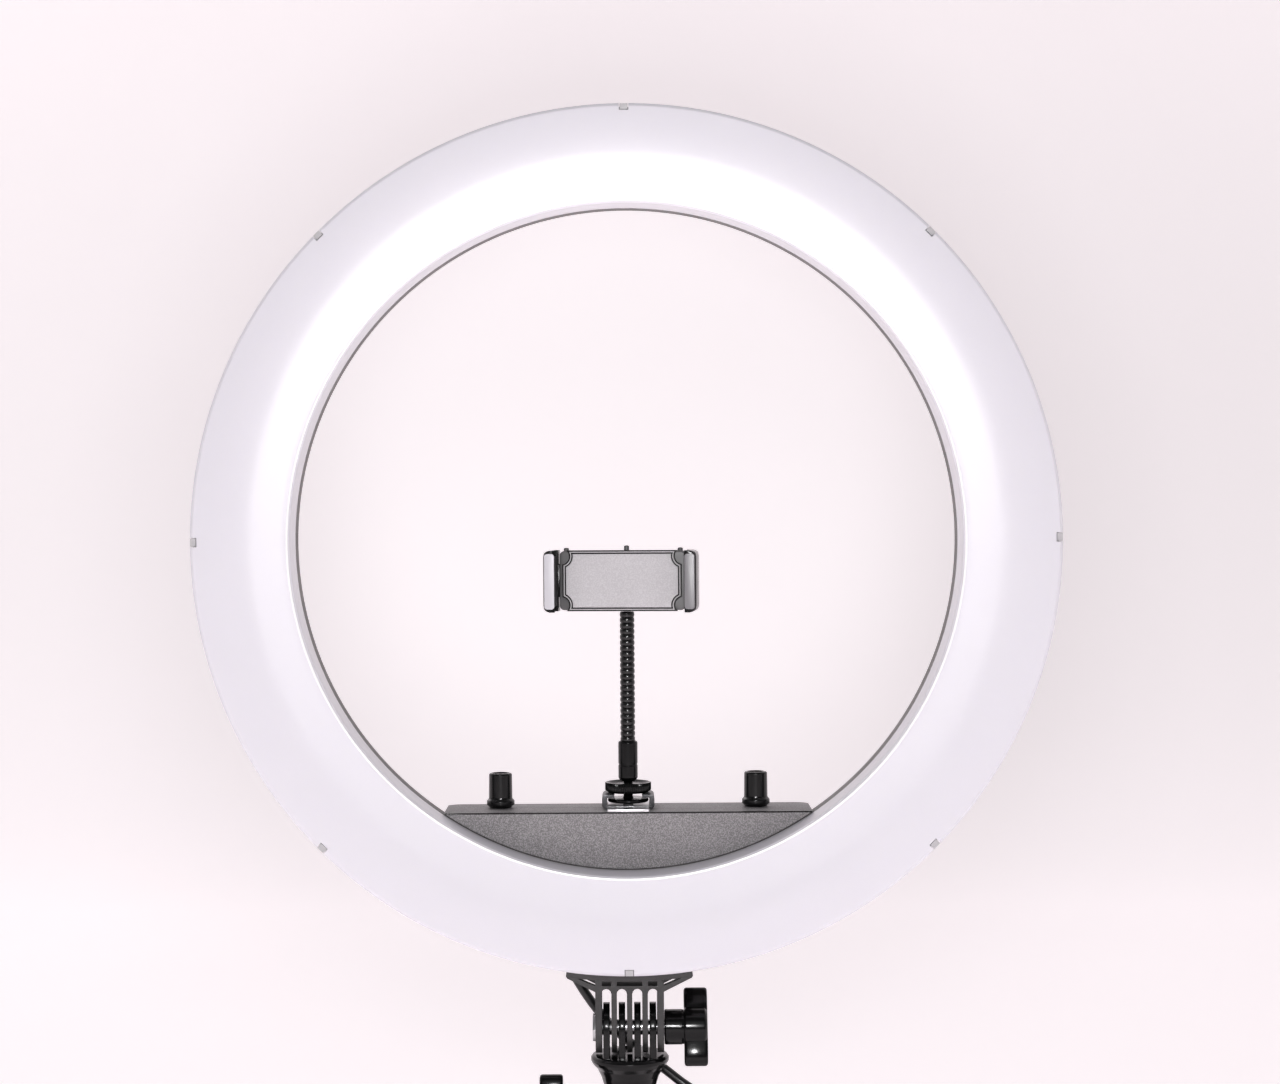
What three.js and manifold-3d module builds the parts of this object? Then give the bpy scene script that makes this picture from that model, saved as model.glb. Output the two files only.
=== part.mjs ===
// A ring light on a tilting stand head, with a phone holder on a gooseneck inside the ring.
// Millimetres, +Z up. X runs to the viewer's right and Y away from the viewer.
// The origin is the middle of the stand socket's mouth, and the tilt axis lies above it.

import * as THREE from 'three';
import { mergeVertices } from 'three/addons/utils/BufferGeometryUtils.js';
import Module from 'manifold-3d';

const wasm = await Module();
wasm.setup();

// ---------- driving dimensions ----------

const GAP = 0.3; // air between neighbouring pieces
const WALL = 2.2; // usual moulded wall

const RING = { z: 320, outer: 225, inner: 172.5, front: -22, rear: 12, split: -6, segments: 64 };
const DOME = { crown: 201, from: 177, to: 221, fall: 0.00314, skin: 1.8 };
const CLIP = { count: 8, width: 4.2, depth: 3.2, front: -18.8 };
const LED = { inner: 178, outer: 219, thick: 1.6, perRow: 16, rows: [189, 208] };

const BOX = { radius: 172, top: 177.5, front: -2, rear: 36, plate: 2.5, corner: 8, post: 52 };
const DIAL = { x: 67.7, y: 20, height: 18.3, flange: 7.15, body: 6.25, top: 5.95, shaft: 2.8 };

const SHOE = { width: 27.6, height: 7.4, leg: 2.6, sheet: 1.2, slot: 14.6, front: 8.5, rear: 30 };
const FOOT = { y: 20, disc: 10.8, thick: 2, lift: 2.9, stem: 2.65, length: 18 };
const NUT = { radius: 12.2, base: 185.5, height: 5.4 };
const SLEEVE = { radius: 5.15, base: 191.2, top: 212.5 };
const NECK = { radius: 3.95, base: 206, joints: [222, 237, 252, 267], top: 281.2, slope: 0.32 };

const BALL = { z: 296, radius: 6, stub: 2.4, y: 20, yaw: -6 };
const HOLDER = { lift: 2.4, half: 33, tall: 15.5, back: -12, face: -22, bezel: 2, pad: 1 };
const PLATE = { half: 29.35, tall: 13.95, notch: 6.2, notchX: 31.95, notchZ: 12.75, border: 1.9 };
const JAW = { inner: 33.6, wall: 35, outer: 40.1, tall: 16, front: -38, back: -13, corner: 3.4 };
const JAW_PAD = { thick: 0.7, near: -33.4, far: -24.6, tall: 13 };
const SLIDE = { half: 9, near: -20, far: -14, inside: 8, tongue: 12 };

const PIVOT = { z: 65, radius: 13, bolt: 4, pitch: 8.05 };
const HEAD = { outerFin: 3.4, innerFin: 2.8, arch: 87.5, deck: 88.9, saddle: 228.6, tip: 32.5 };
const TILT_NUT = { flats: 13, thick: 3.7, out: 1.5 };
const SOCKET = { radius: 13.35, bore: 8.2, depth: 34, fin: 3.4, collar: 20.4, collarZ: 49 };
const KNOB = { hub: 9.15, bar: 12.3, reach: 20.5, end: 5.5, boss: 10.5, bore: 4.3 };
const LOCK = { z: 20, screw: 3.9, insert: 5.5, hubFrom: -22, hubTo: -35 };

const CORD = { diameter: 5, y: 23.5, coil: 27.5, wide: 10, deep: 7, coilX: 30, coilZ: -10, last: 7.5 };
const PLUG = { top: -48, relief: 20, body: 24, width: 15, thick: 10, pins: 17, pinRadius: 2 };

const RELIEF = { stub: 2.6, plug: 12, cone: 20, wide: 4.2, narrow: 3.1 };

// The stretch of the lead between its strain relief and the coil.
const CORD_ROUTE = [
  [-34.6, 18.3, 99.4], [-30.9, 18.3, 92.0], [-27.0, 18.5, 84.9], [-22.4, 19.0, 77.6],
  [-17.4, 20.0, 70.4], [-11.9, 21.8, 63.4], [-5.8, 23.6, 56.8], [0.8, 24.8, 50.8],
  [7.6, 25.2, 45.3], [14.2, 25.1, 40.3], [20.9, 24.6, 35.3], [27.2, 24.0, 30.4],
];

// ---------- materials ----------

function finish(color, roughness, metalness = 0) {
  return new THREE.MeshStandardMaterial({ color, roughness, metalness });
}

const milky = () => finish(0xe6e3ea, 0.3);
const shellPlastic = () => finish(0x8a8078, 0.55);
const boardGreen = () => finish(0x1f4a34, 0.6);
const boardWhite = () => finish(0xd8d8d2, 0.5);
const panelGrey = () => finish(0x6f6c6e, 0.7);
const glossBlack = () => finish(0x101012, 0.18);
const darkPlastic = () => finish(0x3a393a, 0.45);
const steel = () => finish(0xb9babd, 0.3, 1);
const greySheet = () => finish(0x6b6b6e, 0.4, 1);
const brass = () => finish(0xb08d3c, 0.35, 1);
const padGrey = () => finish(0xb9b6ba, 0.8);
const rubber = () => finish(0x1a1a1b, 0.85);
const cordBlack = () => finish(0x0e0e10, 0.35);

// ---------- solids ----------

// A manifold solid from any closed three.js geometry.
function solid(geometry) {
  const bare = geometry.clone();
  bare.deleteAttribute('normal');
  bare.deleteAttribute('uv');
  const merged = mergeVertices(bare, 1e-4);
  const index = merged.index.array;
  const triangles = [];
  for (let i = 0; i < index.length; i += 3) {
    const [a, b, c] = [index[i], index[i + 1], index[i + 2]];
    if (a !== b && b !== c && c !== a) triangles.push(a, b, c);
  }
  const mesh = new wasm.Mesh({
    numProp: 3,
    vertProperties: new Float32Array(merged.attributes.position.array),
    triVerts: new Uint32Array(triangles),
  });
  return new wasm.Manifold(mesh);
}

function geometryOf(manifold) {
  const mesh = manifold.getMesh();
  const geometry = new THREE.BufferGeometry();
  geometry.setAttribute('position', new THREE.BufferAttribute(mesh.vertProperties, 3));
  geometry.setIndex(new THREE.BufferAttribute(mesh.triVerts, 1));
  return geometry;
}

function join(first, ...others) {
  return others.reduce((whole, piece) => whole.add(solid(piece)), solid(first));
}

function cut(body, ...tools) {
  return tools.reduce((rest, tool) => rest.subtract(solid(tool)), body);
}

function piece(name, shape, material) {
  const geometry = shape.isBufferGeometry ? shape : geometryOf(shape);
  geometry.computeVertexNormals();
  const mesh = new THREE.Mesh(geometry, material);
  mesh.name = name;
  return mesh;
}

function placed(mesh, x, y, z) {
  mesh.position.set(x, y, z);
  return mesh;
}

function groupAt(x, y, z, ...children) {
  const holder = new THREE.Group();
  holder.position.set(x, y, z);
  holder.add(...children);
  return holder;
}

// ---------- shapes along an axis ----------

function boxBetween([x0, y0, z0], [x1, y1, z1]) {
  const geometry = new THREE.BoxGeometry(x1 - x0, y1 - y0, z1 - z0);
  return geometry.translate((x0 + x1) / 2, (y0 + y1) / 2, (z0 + z1) / 2);
}

// Profiles are [radius, height] pairs, listed with the material on their left.
function turned(profile, segments) {
  const points = profile.map(([radius, height]) => new THREE.Vector2(radius, height));
  return new THREE.LatheGeometry(points, segments);
}

function turnedY(profile, segments) {
  return turned([...profile, profile[0]], segments);
}

function turnedZ(profile, segments = 16) {
  return turned(profile, segments).rotateX(Math.PI / 2);
}

function turnedX(profile, segments = 16) {
  return turned(profile, segments).rotateZ(-Math.PI / 2);
}

function rodZ(radius, from, to, segments = 16) {
  return turnedZ([[0, from], [radius, from], [radius, to], [0, to]], segments);
}

function rodX(radius, from, to, segments = 16) {
  return turnedX([[0, from], [radius, from], [radius, to], [0, to]], segments);
}

function rodY(radius, from, to, segments = 16) {
  return turned([[0, from], [radius, from], [radius, to], [0, to]], segments);
}

function tubeZ(inner, outer, from, to, segments = 24) {
  return turnedZ([[inner, from], [outer, from], [outer, to], [inner, to], [inner, from]], segments);
}

function extruded(shape, depth, curveSegments) {
  return new THREE.ExtrudeGeometry(shape, { depth, bevelEnabled: false, curveSegments });
}

const UP = new THREE.Vector3(0, 0, 1);
const RIGHT = new THREE.Vector3(1, 0, 0);
const BACK = new THREE.Vector3(0, 1, 0);

// The outline is drawn in X and Z and swept along Y.
function sweptY(shape, from, to, curveSegments = 12) {
  const turn = new THREE.Matrix4().makeBasis(RIGHT, UP, BACK.clone().negate());
  return extruded(shape, to - from, curveSegments).applyMatrix4(turn).translate(0, to, 0);
}

// The outline is drawn in Y and Z and swept along X.
function sweptX(shape, from, to, curveSegments = 12) {
  const turn = new THREE.Matrix4().makeBasis(BACK, UP, RIGHT);
  return extruded(shape, to - from, curveSegments).applyMatrix4(turn).translate(from, 0, 0);
}

// The outline is drawn in X and Y and swept along Z.
function sweptZ(shape, from, to, curveSegments = 12) {
  return extruded(shape, to - from, curveSegments).translate(0, 0, from);
}

function outline(points) {
  return new THREE.Shape(points.map(([x, y]) => new THREE.Vector2(x, y)));
}

function roundedRectangle(x0, y0, x1, y1, radius) {
  const shape = new THREE.Shape();
  shape.moveTo(x0 + radius, y0);
  shape.lineTo(x1 - radius, y0);
  shape.absarc(x1 - radius, y0 + radius, radius, -Math.PI / 2, 0, false);
  shape.lineTo(x1, y1 - radius);
  shape.absarc(x1 - radius, y1 - radius, radius, 0, Math.PI / 2, false);
  shape.lineTo(x0 + radius, y1);
  shape.absarc(x0 + radius, y1 - radius, radius, Math.PI / 2, Math.PI, false);
  shape.lineTo(x0, y0 + radius);
  shape.absarc(x0 + radius, y0 + radius, radius, Math.PI, 1.5 * Math.PI, false);
  return shape;
}

// A pan-head screw along +Z: the shank starts at 0 and the head lies below it.
function screw(shank, length, head, thick) {
  return turnedZ([[0, -thick], [head, -thick], [head, 0], [shank, 0], [shank, length], [0, length]], 10);
}

// Turns a piece made along +Z so that it points at the ring's axis from below, at a given angle.
function aimedAtAxis(mesh, radius, degrees, y) {
  const angle = THREE.MathUtils.degToRad(degrees);
  mesh.rotation.y = angle;
  return placed(mesh, -radius * Math.sin(angle), y, RING.z - radius * Math.cos(angle));
}

// ---------- ring ----------

function domeY(radius, skin = 0) {
  return RING.front + skin + DOME.fall * (radius - DOME.crown) ** 2;
}

function diffuserProfile() {
  const { outer, inner, split } = RING;
  const outerWall = outer - 2;
  const innerWall = inner + 3.1;
  const face = [DOME.from, 188, DOME.crown, 212, DOME.to];
  const inside = [DOME.to, DOME.crown, DOME.from + 4];
  return [
    [outer, -18], [outer, split], [outerWall, split], [outerWall, -17.2],
    ...inside.map((r) => [r, domeY(r, DOME.skin)]),
    [innerWall, -17.2], [innerWall - 0.8, -2], [inner + 0.1, -2], [inner + 1, -18.2],
    [inner + 2, -19.6], ...face.map((r) => [r, domeY(r)]),
    [outer - 1.3, -19.6],
  ];
}

function rearShellProfile() {
  const { outer, inner, rear, split } = RING;
  const floor = rear - WALL;
  return [
    [outer, split + GAP], [outer, rear - 3], [outer - 3, rear], [inner + 3, rear],
    [inner, rear - 3], [inner, -2 + GAP], [inner + 2.2, -2 + GAP], [inner + 2.2, floor],
    [outer - 2.6, floor], [outer - 2.6, -2], [outer - 3.8, -3], [outer - 3.8, -9],
    [outer - 2.4, -9], [outer - 2.4, split + GAP],
  ];
}

function aroundRing(count, make) {
  return Array.from({ length: count }, (_, i) => make().rotateY((i * 2 * Math.PI) / count));
}

function diffuser() {
  const { width, depth } = CLIP;
  const half = width / 2 + GAP;
  const low = RING.outer - depth - 2 * GAP;
  const notch = () => boxBetween([-half, -24, low], [half, RING.split + GAP, RING.outer + 2]);
  const body = cut(solid(turnedY(diffuserProfile(), RING.segments)), ...aroundRing(CLIP.count, notch));
  return piece('diffuser', body, milky());
}

function rearShell() {
  const { width, depth, front } = CLIP;
  const finger = () => boxBetween([-width / 2, front, RING.outer - depth], [width / 2, -3, RING.outer - 0.2]);
  const fingers = aroundRing(CLIP.count, finger);
  const outlet = boxBetween([-58, RING.rear - 1, -200.2], [-40, RING.rear + 10.5, -186]);
  const shell = join(turnedY(rearShellProfile(), RING.segments), ...fingers, outlet);
  const holes = [-6, 6].map((degrees) => radialHole(2.3, 215, 235, degrees, 3));
  holes.push(...[-12, 12].map((degrees) => radialHole(1.8, 168, 180, degrees, 6)));
  holes.push(radialRod(RELIEF.stub + GAP, reliefStart(), reliefAim(), RELIEF.plug + 4));
  return piece('rear_shell', cut(shell, ...holes), shellPlastic());
}

// A cylinder that crosses the ring's wall at its lowest part, in the ring's own place.
function radialHole(radius, from, to, degrees, y) {
  const rod = rodZ(radius, -to, -from, 16);
  return rod.rotateY(THREE.MathUtils.degToRad(degrees)).translate(0, y, 0);
}

function ledBoard() {
  const { inner, outer, thick, perRow, rows } = LED;
  const back = RING.rear - WALL - GAP;
  const front = back - thick;
  const board = turnedY([[inner, front], [outer, front], [outer, back], [inner, back]], RING.segments);
  const chips = rows.flatMap((radius) => {
    const chip = () => boxBetween([-1.7, front - 0.8, radius - 1.4], [1.7, front + 0.2, radius + 1.4]);
    return aroundRing(perRow, chip);
  });
  return piece('led_board', join(board, ...chips), boardWhite());
}

function ring() {
  return groupAt(0, 0, RING.z, diffuser(), rearShell(), ledBoard());
}

// ---------- control box ----------

// The segment of a disc that fills the bottom of the ring's opening.
function segmentShape(radius, top) {
  const drop = top - RING.z;
  const half = Math.acos(-drop / radius);
  const shape = new THREE.Shape();
  shape.absarc(0, RING.z, radius, -Math.PI / 2 - half, -Math.PI / 2 + half, false);
  return shape;
}

const POST_Z = 167.5;

function boxFront() {
  const { radius, top, front, plate, rear, post } = BOX;
  const posts = [-post, post].map((x) => {
    return rodY(3.4, front + plate - 1, rear - WALL - GAP, 16).translate(x, 0, POST_Z);
  });
  const body = join(sweptY(segmentShape(radius, top), front, front + plate, 28), ...posts);
  const pilots = [-post, post].map((x) => rodY(1.5, rear - 15, rear, 12).translate(x, 0, POST_Z));
  return piece('box_front', cut(body, ...pilots), panelGrey());
}

function boxRear() {
  const { radius, top, front, plate, rear, corner, post } = BOX;
  const half = 97;
  const from = front + plate + GAP;
  const plan = roundedRectangle(-half, from - 20, half, rear, corner);
  const block = solid(sweptY(segmentShape(radius, top), from, rear, 28));
  const shaped = block.intersect(solid(sweptZ(plan, 140, 180, 6)));
  const hollow = sweptY(segmentShape(radius - WALL, top - WALL), from - 1, rear - WALL, 28);
  const dialHoles = [-DIAL.x, DIAL.x].map((x) => rodZ(3.3, 172, 180, 20).translate(x, DIAL.y, 0));
  const shoeHoles = shoeScrewY().map((y) => rodZ(1.8, 172, 180, 16).translate(0, y, 0));
  const screwHoles = [-post, post].map((x) => rodY(1.8, 20, 40, 16).translate(x, 0, POST_Z));
  const sideHoles = [-12, 12].map((degrees) => radialHole(1.8, 165, 175, degrees, 6));
  sideHoles.forEach((hole) => hole.translate(0, 0, RING.z));
  const body = cut(shaped, hollow, ...dialHoles, ...shoeHoles, ...screwHoles, ...sideHoles);
  return piece('box_rear', body, shellPlastic());
}

function driverBoard() {
  const board = boxBetween([-44, 8, 160], [44, 9.6, 172.5]);
  const coils = [-30, 28].map((x) => rodY(4.2, 9.4, 16, 16).translate(x, 0, 166));
  const chips = [-18, -4, 12].map((x) => boxBetween([x, 9.4, 162], [x + 8, 14, 170]));
  return piece('driver_board', join(board, ...coils, ...chips), boardGreen());
}

function potentiometer(side, x) {
  const body = cut(solid(boxBetween([-7.7, -7, 168.6], [7.7, 7, 175])), rodZ(3.1, 170, 180, 20));
  const shaft = rodZ(DIAL.shaft, 170.3, BOX.top + 12, 20);
  return [
    placed(piece(`pot_${side}`, body, steel()), x, DIAL.y, 0),
    placed(piece(`pot_shaft_${side}`, shaft, steel()), x, DIAL.y, 0),
  ];
}

function dial(side, x) {
  const { height, flange, body, top } = DIAL;
  const bore = DIAL.shaft + GAP;
  const profile = [
    [bore, 0], [flange - 1, 0], [flange, 1.2], [flange, 3.9], [body, 5.1], [top, height - 1.4],
    [top - 0.6, height - 0.5], [top - 1.5, height], [top - 2.4, height - 0.5],
    [0, height - 0.9], [0, 12.6], [bore, 12.6], [bore, 0],
  ];
  return placed(piece(`dial_${side}`, turnedZ(profile, 16), glossBlack()), x, DIAL.y, BOX.top + GAP);
}

function boxScrew(side, x) {
  const mesh = piece(`box_screw_${side}`, screw(1.3, 12, 2.8, 1.8), steel());
  mesh.rotation.x = Math.PI / 2;
  return placed(mesh, x, BOX.rear + GAP, POST_Z);
}

function mountScrew(side, degrees) {
  const mesh = piece(`mount_screw_${side}`, screw(1.4, 8, 2.8, 1.8), steel());
  const angle = THREE.MathUtils.degToRad(degrees);
  const start = BOX.radius - WALL - GAP;
  mesh.rotation.y = angle + Math.PI;
  return placed(mesh, -start * Math.sin(angle), 6, RING.z - start * Math.cos(angle));
}

function controlBox() {
  const sides = [['left', -DIAL.x], ['right', DIAL.x]];
  return groupAt(
    0, 0, 0, boxFront(), boxRear(), driverBoard(),
    ...sides.flatMap(([side, x]) => [...potentiometer(side, x), dial(side, x)]),
    boxScrew('left', -BOX.post), boxScrew('right', BOX.post),
    mountScrew('left', 12), mountScrew('right', -12),
  );
}

// ---------- cold shoe and gooseneck ----------

function shoeScrewY() {
  return [SHOE.front + 3.5, SHOE.rear - 3.5];
}

function coldShoe() {
  const { width, height, leg, sheet, slot, front, rear } = SHOE;
  const outer = roundedRectangle(-width / 2, 0, width / 2, height, 2.2);
  const inner = roundedRectangle(-width / 2 + leg, sheet, width / 2 - leg, height - sheet - 0.3, 0.5);
  const body = solid(sweptY(outer, front, rear, 4));
  const slotTool = boxBetween([-slot / 2, front - 1, height / 2], [slot / 2, rear + 1, height + 1]);
  const holes = shoeScrewY().map((y) => rodZ(1.8, -1, 3, 16).translate(0, y, 0));
  const shaped = cut(body, sweptY(inner, front - 1, rear + 1, 2), slotTool, ...holes);
  return placed(piece('cold_shoe', shaped, greySheet()), 0, 0, BOX.top + GAP);
}

function shoeScrew(name, y) {
  const mesh = piece(name, screw(1.4, 8, 2.8, 1), steel());
  mesh.rotation.x = Math.PI;
  return placed(mesh, 0, y, BOX.top + GAP + SHOE.sheet + GAP);
}

function shoeFoot() {
  const base = BOX.top + FOOT.lift;
  const { disc, thick, stem, length } = FOOT;
  const profile = [[0, 0], [disc, 0], [disc, thick], [stem, thick], [stem, length], [0, length]];
  return placed(piece('shoe_foot', turnedZ(profile, 28), glossBlack()), 0, FOOT.y, base);
}

function thumbNut() {
  const { radius, base, height } = NUT;
  const bore = FOOT.stem + GAP;
  const profile = [
    [bore, 0], [radius - 1.2, 0], [radius, 1.2], [radius, height], [radius - 1.1, height],
    [radius - 2.4, height - 1.2], [bore, height - 1.2], [bore, 0],
  ];
  return placed(piece('thumb_nut', turnedZ(profile, 24), glossBlack()), 0, FOOT.y, base);
}

function sleeve() {
  const { radius, base, top } = SLEEVE;
  const low = FOOT.stem + GAP;
  const high = NECK.radius + GAP;
  const step = NECK.base - GAP;
  const profile = [
    [low, base], [radius - 1.6, base], [radius, base + 1.8], [radius, top - 0.8],
    [radius - 0.6, top], [high, top], [high, step], [low, step], [low, base],
  ];
  return placed(piece('neck_sleeve', turnedZ(profile, 20), glossBlack()), 0, FOOT.y, 0);
}

// One link of the gooseneck: ribs between two conical ends that let it bend at its neighbours.
function neckLink(index) {
  const { radius, joints, base, top, slope } = NECK;
  const from = index === 0 ? base : joints[index - 1];
  const to = index === joints.length ? top : joints[index];
  const end = radius * slope;
  const low = index === 0 ? from : from + GAP / 2 + end;
  const high = index === joints.length ? to : to - GAP / 2 - end;
  const ribs = Math.round((high - low) / 3);
  const pitch = (high - low) / ribs;
  const profile = [[0, index === 0 ? from : from + GAP / 2], [radius, low]];
  for (let rib = 0; rib < ribs; rib += 1) {
    profile.push([radius - 0.5, low + (rib + 0.5) * pitch], [radius, low + (rib + 1) * pitch]);
  }
  profile.push([0, index === joints.length ? to : to - GAP / 2]);
  return placed(piece(`neck_${index}`, turnedZ(profile, 12), glossBlack()), 0, FOOT.y, 0);
}

function ferrule() {
  const bore = BALL.stub + GAP;
  const base = NECK.top + GAP;
  const profile = [
    [0, base], [4.3, base], [4.3, base + 2.8], [3.8, base + 3.4], [bore, base + 3.4],
    [bore, base + 1], [0, base + 1],
  ];
  return placed(piece('neck_ferrule', turnedZ(profile, 16), glossBlack()), 0, FOOT.y, 0);
}

function ballStud() {
  const { z, radius, stub } = BALL;
  const start = NECK.top + 1 + 2 * GAP - z;
  const lowest = -Math.sqrt(radius ** 2 - stub ** 2);
  const steps = 7;
  const first = Math.atan2(lowest, stub);
  const arc = Array.from({ length: steps }, (_, i) => {
    const angle = first + ((Math.PI / 2 - first) * i) / steps;
    return [radius * Math.cos(angle), radius * Math.sin(angle)];
  });
  const profile = [[0, start], [stub, start], ...arc, [0, radius]];
  return placed(piece('ball_stud', turnedZ(profile, 16), steel()), 0, BALL.y, z);
}

function gooseneck() {
  const links = Array.from({ length: NECK.joints.length + 1 }, (_, index) => neckLink(index));
  return groupAt(
    0, 0, 0, coldShoe(), shoeFoot(), thumbNut(), sleeve(), ...links, ferrule(), ballStud(),
    ...shoeScrewY().map((y, i) => shoeScrew(`shoe_screw_${i + 1}`, y)),
  );
}

// ---------- phone holder, in its own frame about the ball ----------

function holderBase() {
  const { lift, half, tall, back, face } = HOLDER;
  const shell = roundedRectangle(-half, lift - tall, half, lift + tall, 2);
  const post = rodZ(1.4, 8, 20.4, 8);
  const bumps = [-30, 30].map((x) => rodZ(1.4, 12, 19.6, 8).translate(x, -17, 0));
  const arm = boxBetween([-7, back - 1, -2.5], [7, -7.5, 7.5]);
  const cup = turnedZ([[0, -3], [9, -3], [9, 8], [8, 9], [0, 9]], 20);
  const whole = join(sweptY(shell, face, back, 4), arm, cup, post, ...bumps);
  const tunnels = [-1, 1].map((side) => {
    const ends = [side * SLIDE.inside, side * (half + 2)].toSorted((a, b) => a - b);
    return boxBetween([ends[0], SLIDE.near, lift - SLIDE.half], [ends[1], SLIDE.far, lift + SLIDE.half]);
  });
  const cavity = new THREE.SphereGeometry(BALL.radius + GAP, 16, 10).rotateX(Math.PI / 2);
  return piece('holder_base', cut(whole, ...tunnels, cavity), darkPlastic());
}

function ballNut() {
  const profile = [
    [6.8, -6.5], [9.6, -6.5], [10.6, -5.2], [10.6, 0.5], [9.9, 1.2], [9.3, 1.2], [9.3, -4.6],
    [6.8, -4.6], [6.8, -6.5],
  ];
  const body = cut(solid(turnedZ(profile, 20)), boxBetween([-7.4, -20, -2.8], [7.4, -5, 8]));
  return piece('ball_nut', body, glossBlack());
}

// The plate's outline: a rectangle whose corners are bitten by round notches.
function notchedPlate(grow, from, to) {
  const { half, tall, notch, notchX, notchZ } = PLATE;
  const { lift } = HOLDER;
  const flat = boxBetween([-half - grow, from, lift - tall - grow], [half + grow, to, lift + tall + grow]);
  const bites = [-1, 1].flatMap((sideX) => [-1, 1].map((sideZ) => {
    const tool = rodY(notch - grow, from - 1, to + 1, 28);
    return tool.translate(sideX * notchX, 0, lift + sideZ * notchZ);
  }));
  return cut(solid(flat), ...bites);
}

function holderFrame() {
  const { face, bezel } = HOLDER;
  const front = face - GAP - bezel;
  const recess = notchedPlate(GAP, front - 1, front + HOLDER.pad);
  const body = notchedPlate(PLATE.border, front, face - GAP).subtract(recess);
  return piece('holder_frame', body, darkPlastic());
}

function holderPad() {
  const front = HOLDER.face - GAP - HOLDER.bezel;
  return piece('holder_pad', notchedPlate(0, front - 0.2, front + HOLDER.pad - GAP), padGrey());
}

function mirrored(points, side) {
  const flipped = points.map(([x, y]) => [side * x, y]);
  return side < 0 ? flipped.reverse() : flipped;
}

function jaw(name, side) {
  const { inner, wall, outer, tall, front, back, corner } = JAW;
  const { lift, half } = HOLDER;
  const plan = [
    [half + 0.8, back], [outer - 0.4, back], [outer, -26], [outer - 0.3, front + 2.4],
    [outer - 1.6, front], [inner + 1, front], [inner, front + 0.9], [inner + 0.3, front + 2.6],
    [wall, front + 3.6], [wall, HOLDER.face], [half + 0.8, HOLDER.face],
  ];
  const wallSolid = solid(sweptZ(outline(mirrored(plan, side)), lift - tall, lift + tall));
  const ends = [side * (outer - 2 * corner - 10), side * outer].toSorted((a, b) => a - b);
  const frontShape = roundedRectangle(ends[0], lift - tall, ends[1], lift + tall, corner);
  const rounded = wallSolid.intersect(solid(sweptY(frontShape, front - 1, back + 1, 5)));
  const reach = [side * SLIDE.tongue, side * (half + 3)].toSorted((a, b) => a - b);
  const tongue = boxBetween(
    [reach[0], SLIDE.near + GAP, lift - SLIDE.half + GAP],
    [reach[1], SLIDE.far - GAP, lift + SLIDE.half - GAP],
  );
  return piece(name, rounded.add(solid(tongue)), darkPlastic());
}

function jawPad(name, side) {
  const { thick, near, far, tall } = JAW_PAD;
  const faces = [side * (JAW.wall - GAP - thick), side * (JAW.wall - GAP)].toSorted((a, b) => a - b);
  const { lift } = HOLDER;
  return piece(name, boxBetween([faces[0], near, lift - tall], [faces[1], far, lift + tall]), rubber());
}

function phoneHolder() {
  const holder = groupAt(
    0, BALL.y, BALL.z, holderBase(), ballNut(), holderFrame(), holderPad(),
    jaw('jaw_left', -1), jaw('jaw_right', 1), jawPad('jaw_pad_left', -1), jawPad('jaw_pad_right', 1),
  );
  holder.rotation.z = THREE.MathUtils.degToRad(BALL.yaw);
  return holder;
}

// ---------- tilt head ----------

// A fin's side view: a half disc about the pivot that runs straight up, or down, to a block.
function finShape(end) {
  const { z, radius } = PIVOT;
  const up = end > z;
  const shape = new THREE.Shape();
  shape.absarc(0, z, radius, up ? -Math.PI : 0, up ? 0 : Math.PI, false);
  shape.lineTo(up ? radius : -radius, end);
  shape.lineTo(up ? -radius : radius, end);
  return shape;
}

function saddleShape(inner, outer) {
  const half = Math.asin(HEAD.tip / inner);
  const shape = new THREE.Shape();
  shape.absarc(0, RING.z, outer, -Math.PI / 2 - half, -Math.PI / 2 + half, false);
  shape.absarc(0, RING.z, inner, -Math.PI / 2 + half, -Math.PI / 2 - half, true);
  return shape;
}

function headFins() {
  return [-2, -1, 0, 1, 2].map((place) => {
    const width = Math.abs(place) === 2 ? HEAD.outerFin : HEAD.innerFin;
    const top = place === 0 ? HEAD.deck - 0.5 : 91.9;
    const x = place * PIVOT.pitch;
    return sweptX(finShape(top), x - width / 2, x + width / 2);
  });
}

function tiltBracket() {
  const { radius, bolt, pitch, z } = PIVOT;
  const outside = 2 * pitch + HEAD.outerFin / 2;
  const inner = RING.outer + 0.4;
  const [first, ...rest] = headFins();
  const deck = boxBetween([-outside, -radius, HEAD.arch - 2.6], [outside, radius, HEAD.deck]);
  const saddle = sweptY(saddleShape(inner, HEAD.saddle), -radius, radius, 16);
  const strut = outline([[outside - 1, 85.4], [HEAD.tip, 93.2], [HEAD.tip, 95.2], [outside - 1, 88.6]]);
  const struts = [[-radius, -radius + 4.5], [radius - 4.5, radius]].flatMap(([from, to]) => {
    const right = sweptY(strut, from, to);
    return [right, right.clone().rotateZ(Math.PI).translate(0, from + to, 0)];
  });
  const body = join(first, ...rest, deck, saddle, ...struts);
  const arches = [-1.5, -0.5, 0.5, 1.5].map((place) => {
    const arch = rodY(2.6, -radius - 1, radius + 1, 12);
    return arch.translate(place * pitch, 0, HEAD.arch - 2.6);
  });
  const bore = rodX(bolt + GAP, -30, 30, 16).translate(0, 0, z);
  const pocketEnd = -outside + TILT_NUT.thick - TILT_NUT.out + GAP;
  const pocket = hexagonX(TILT_NUT.flats + 2 * GAP, -outside - 1, pocketEnd);
  const holes = [-6, 6].map((degrees) => radialHole(2.3, 220, 240, degrees, 3).translate(0, 0, RING.z));
  return piece('tilt_bracket', cut(body, ...arches, bore, pocket, ...holes), darkPlastic());
}

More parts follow.
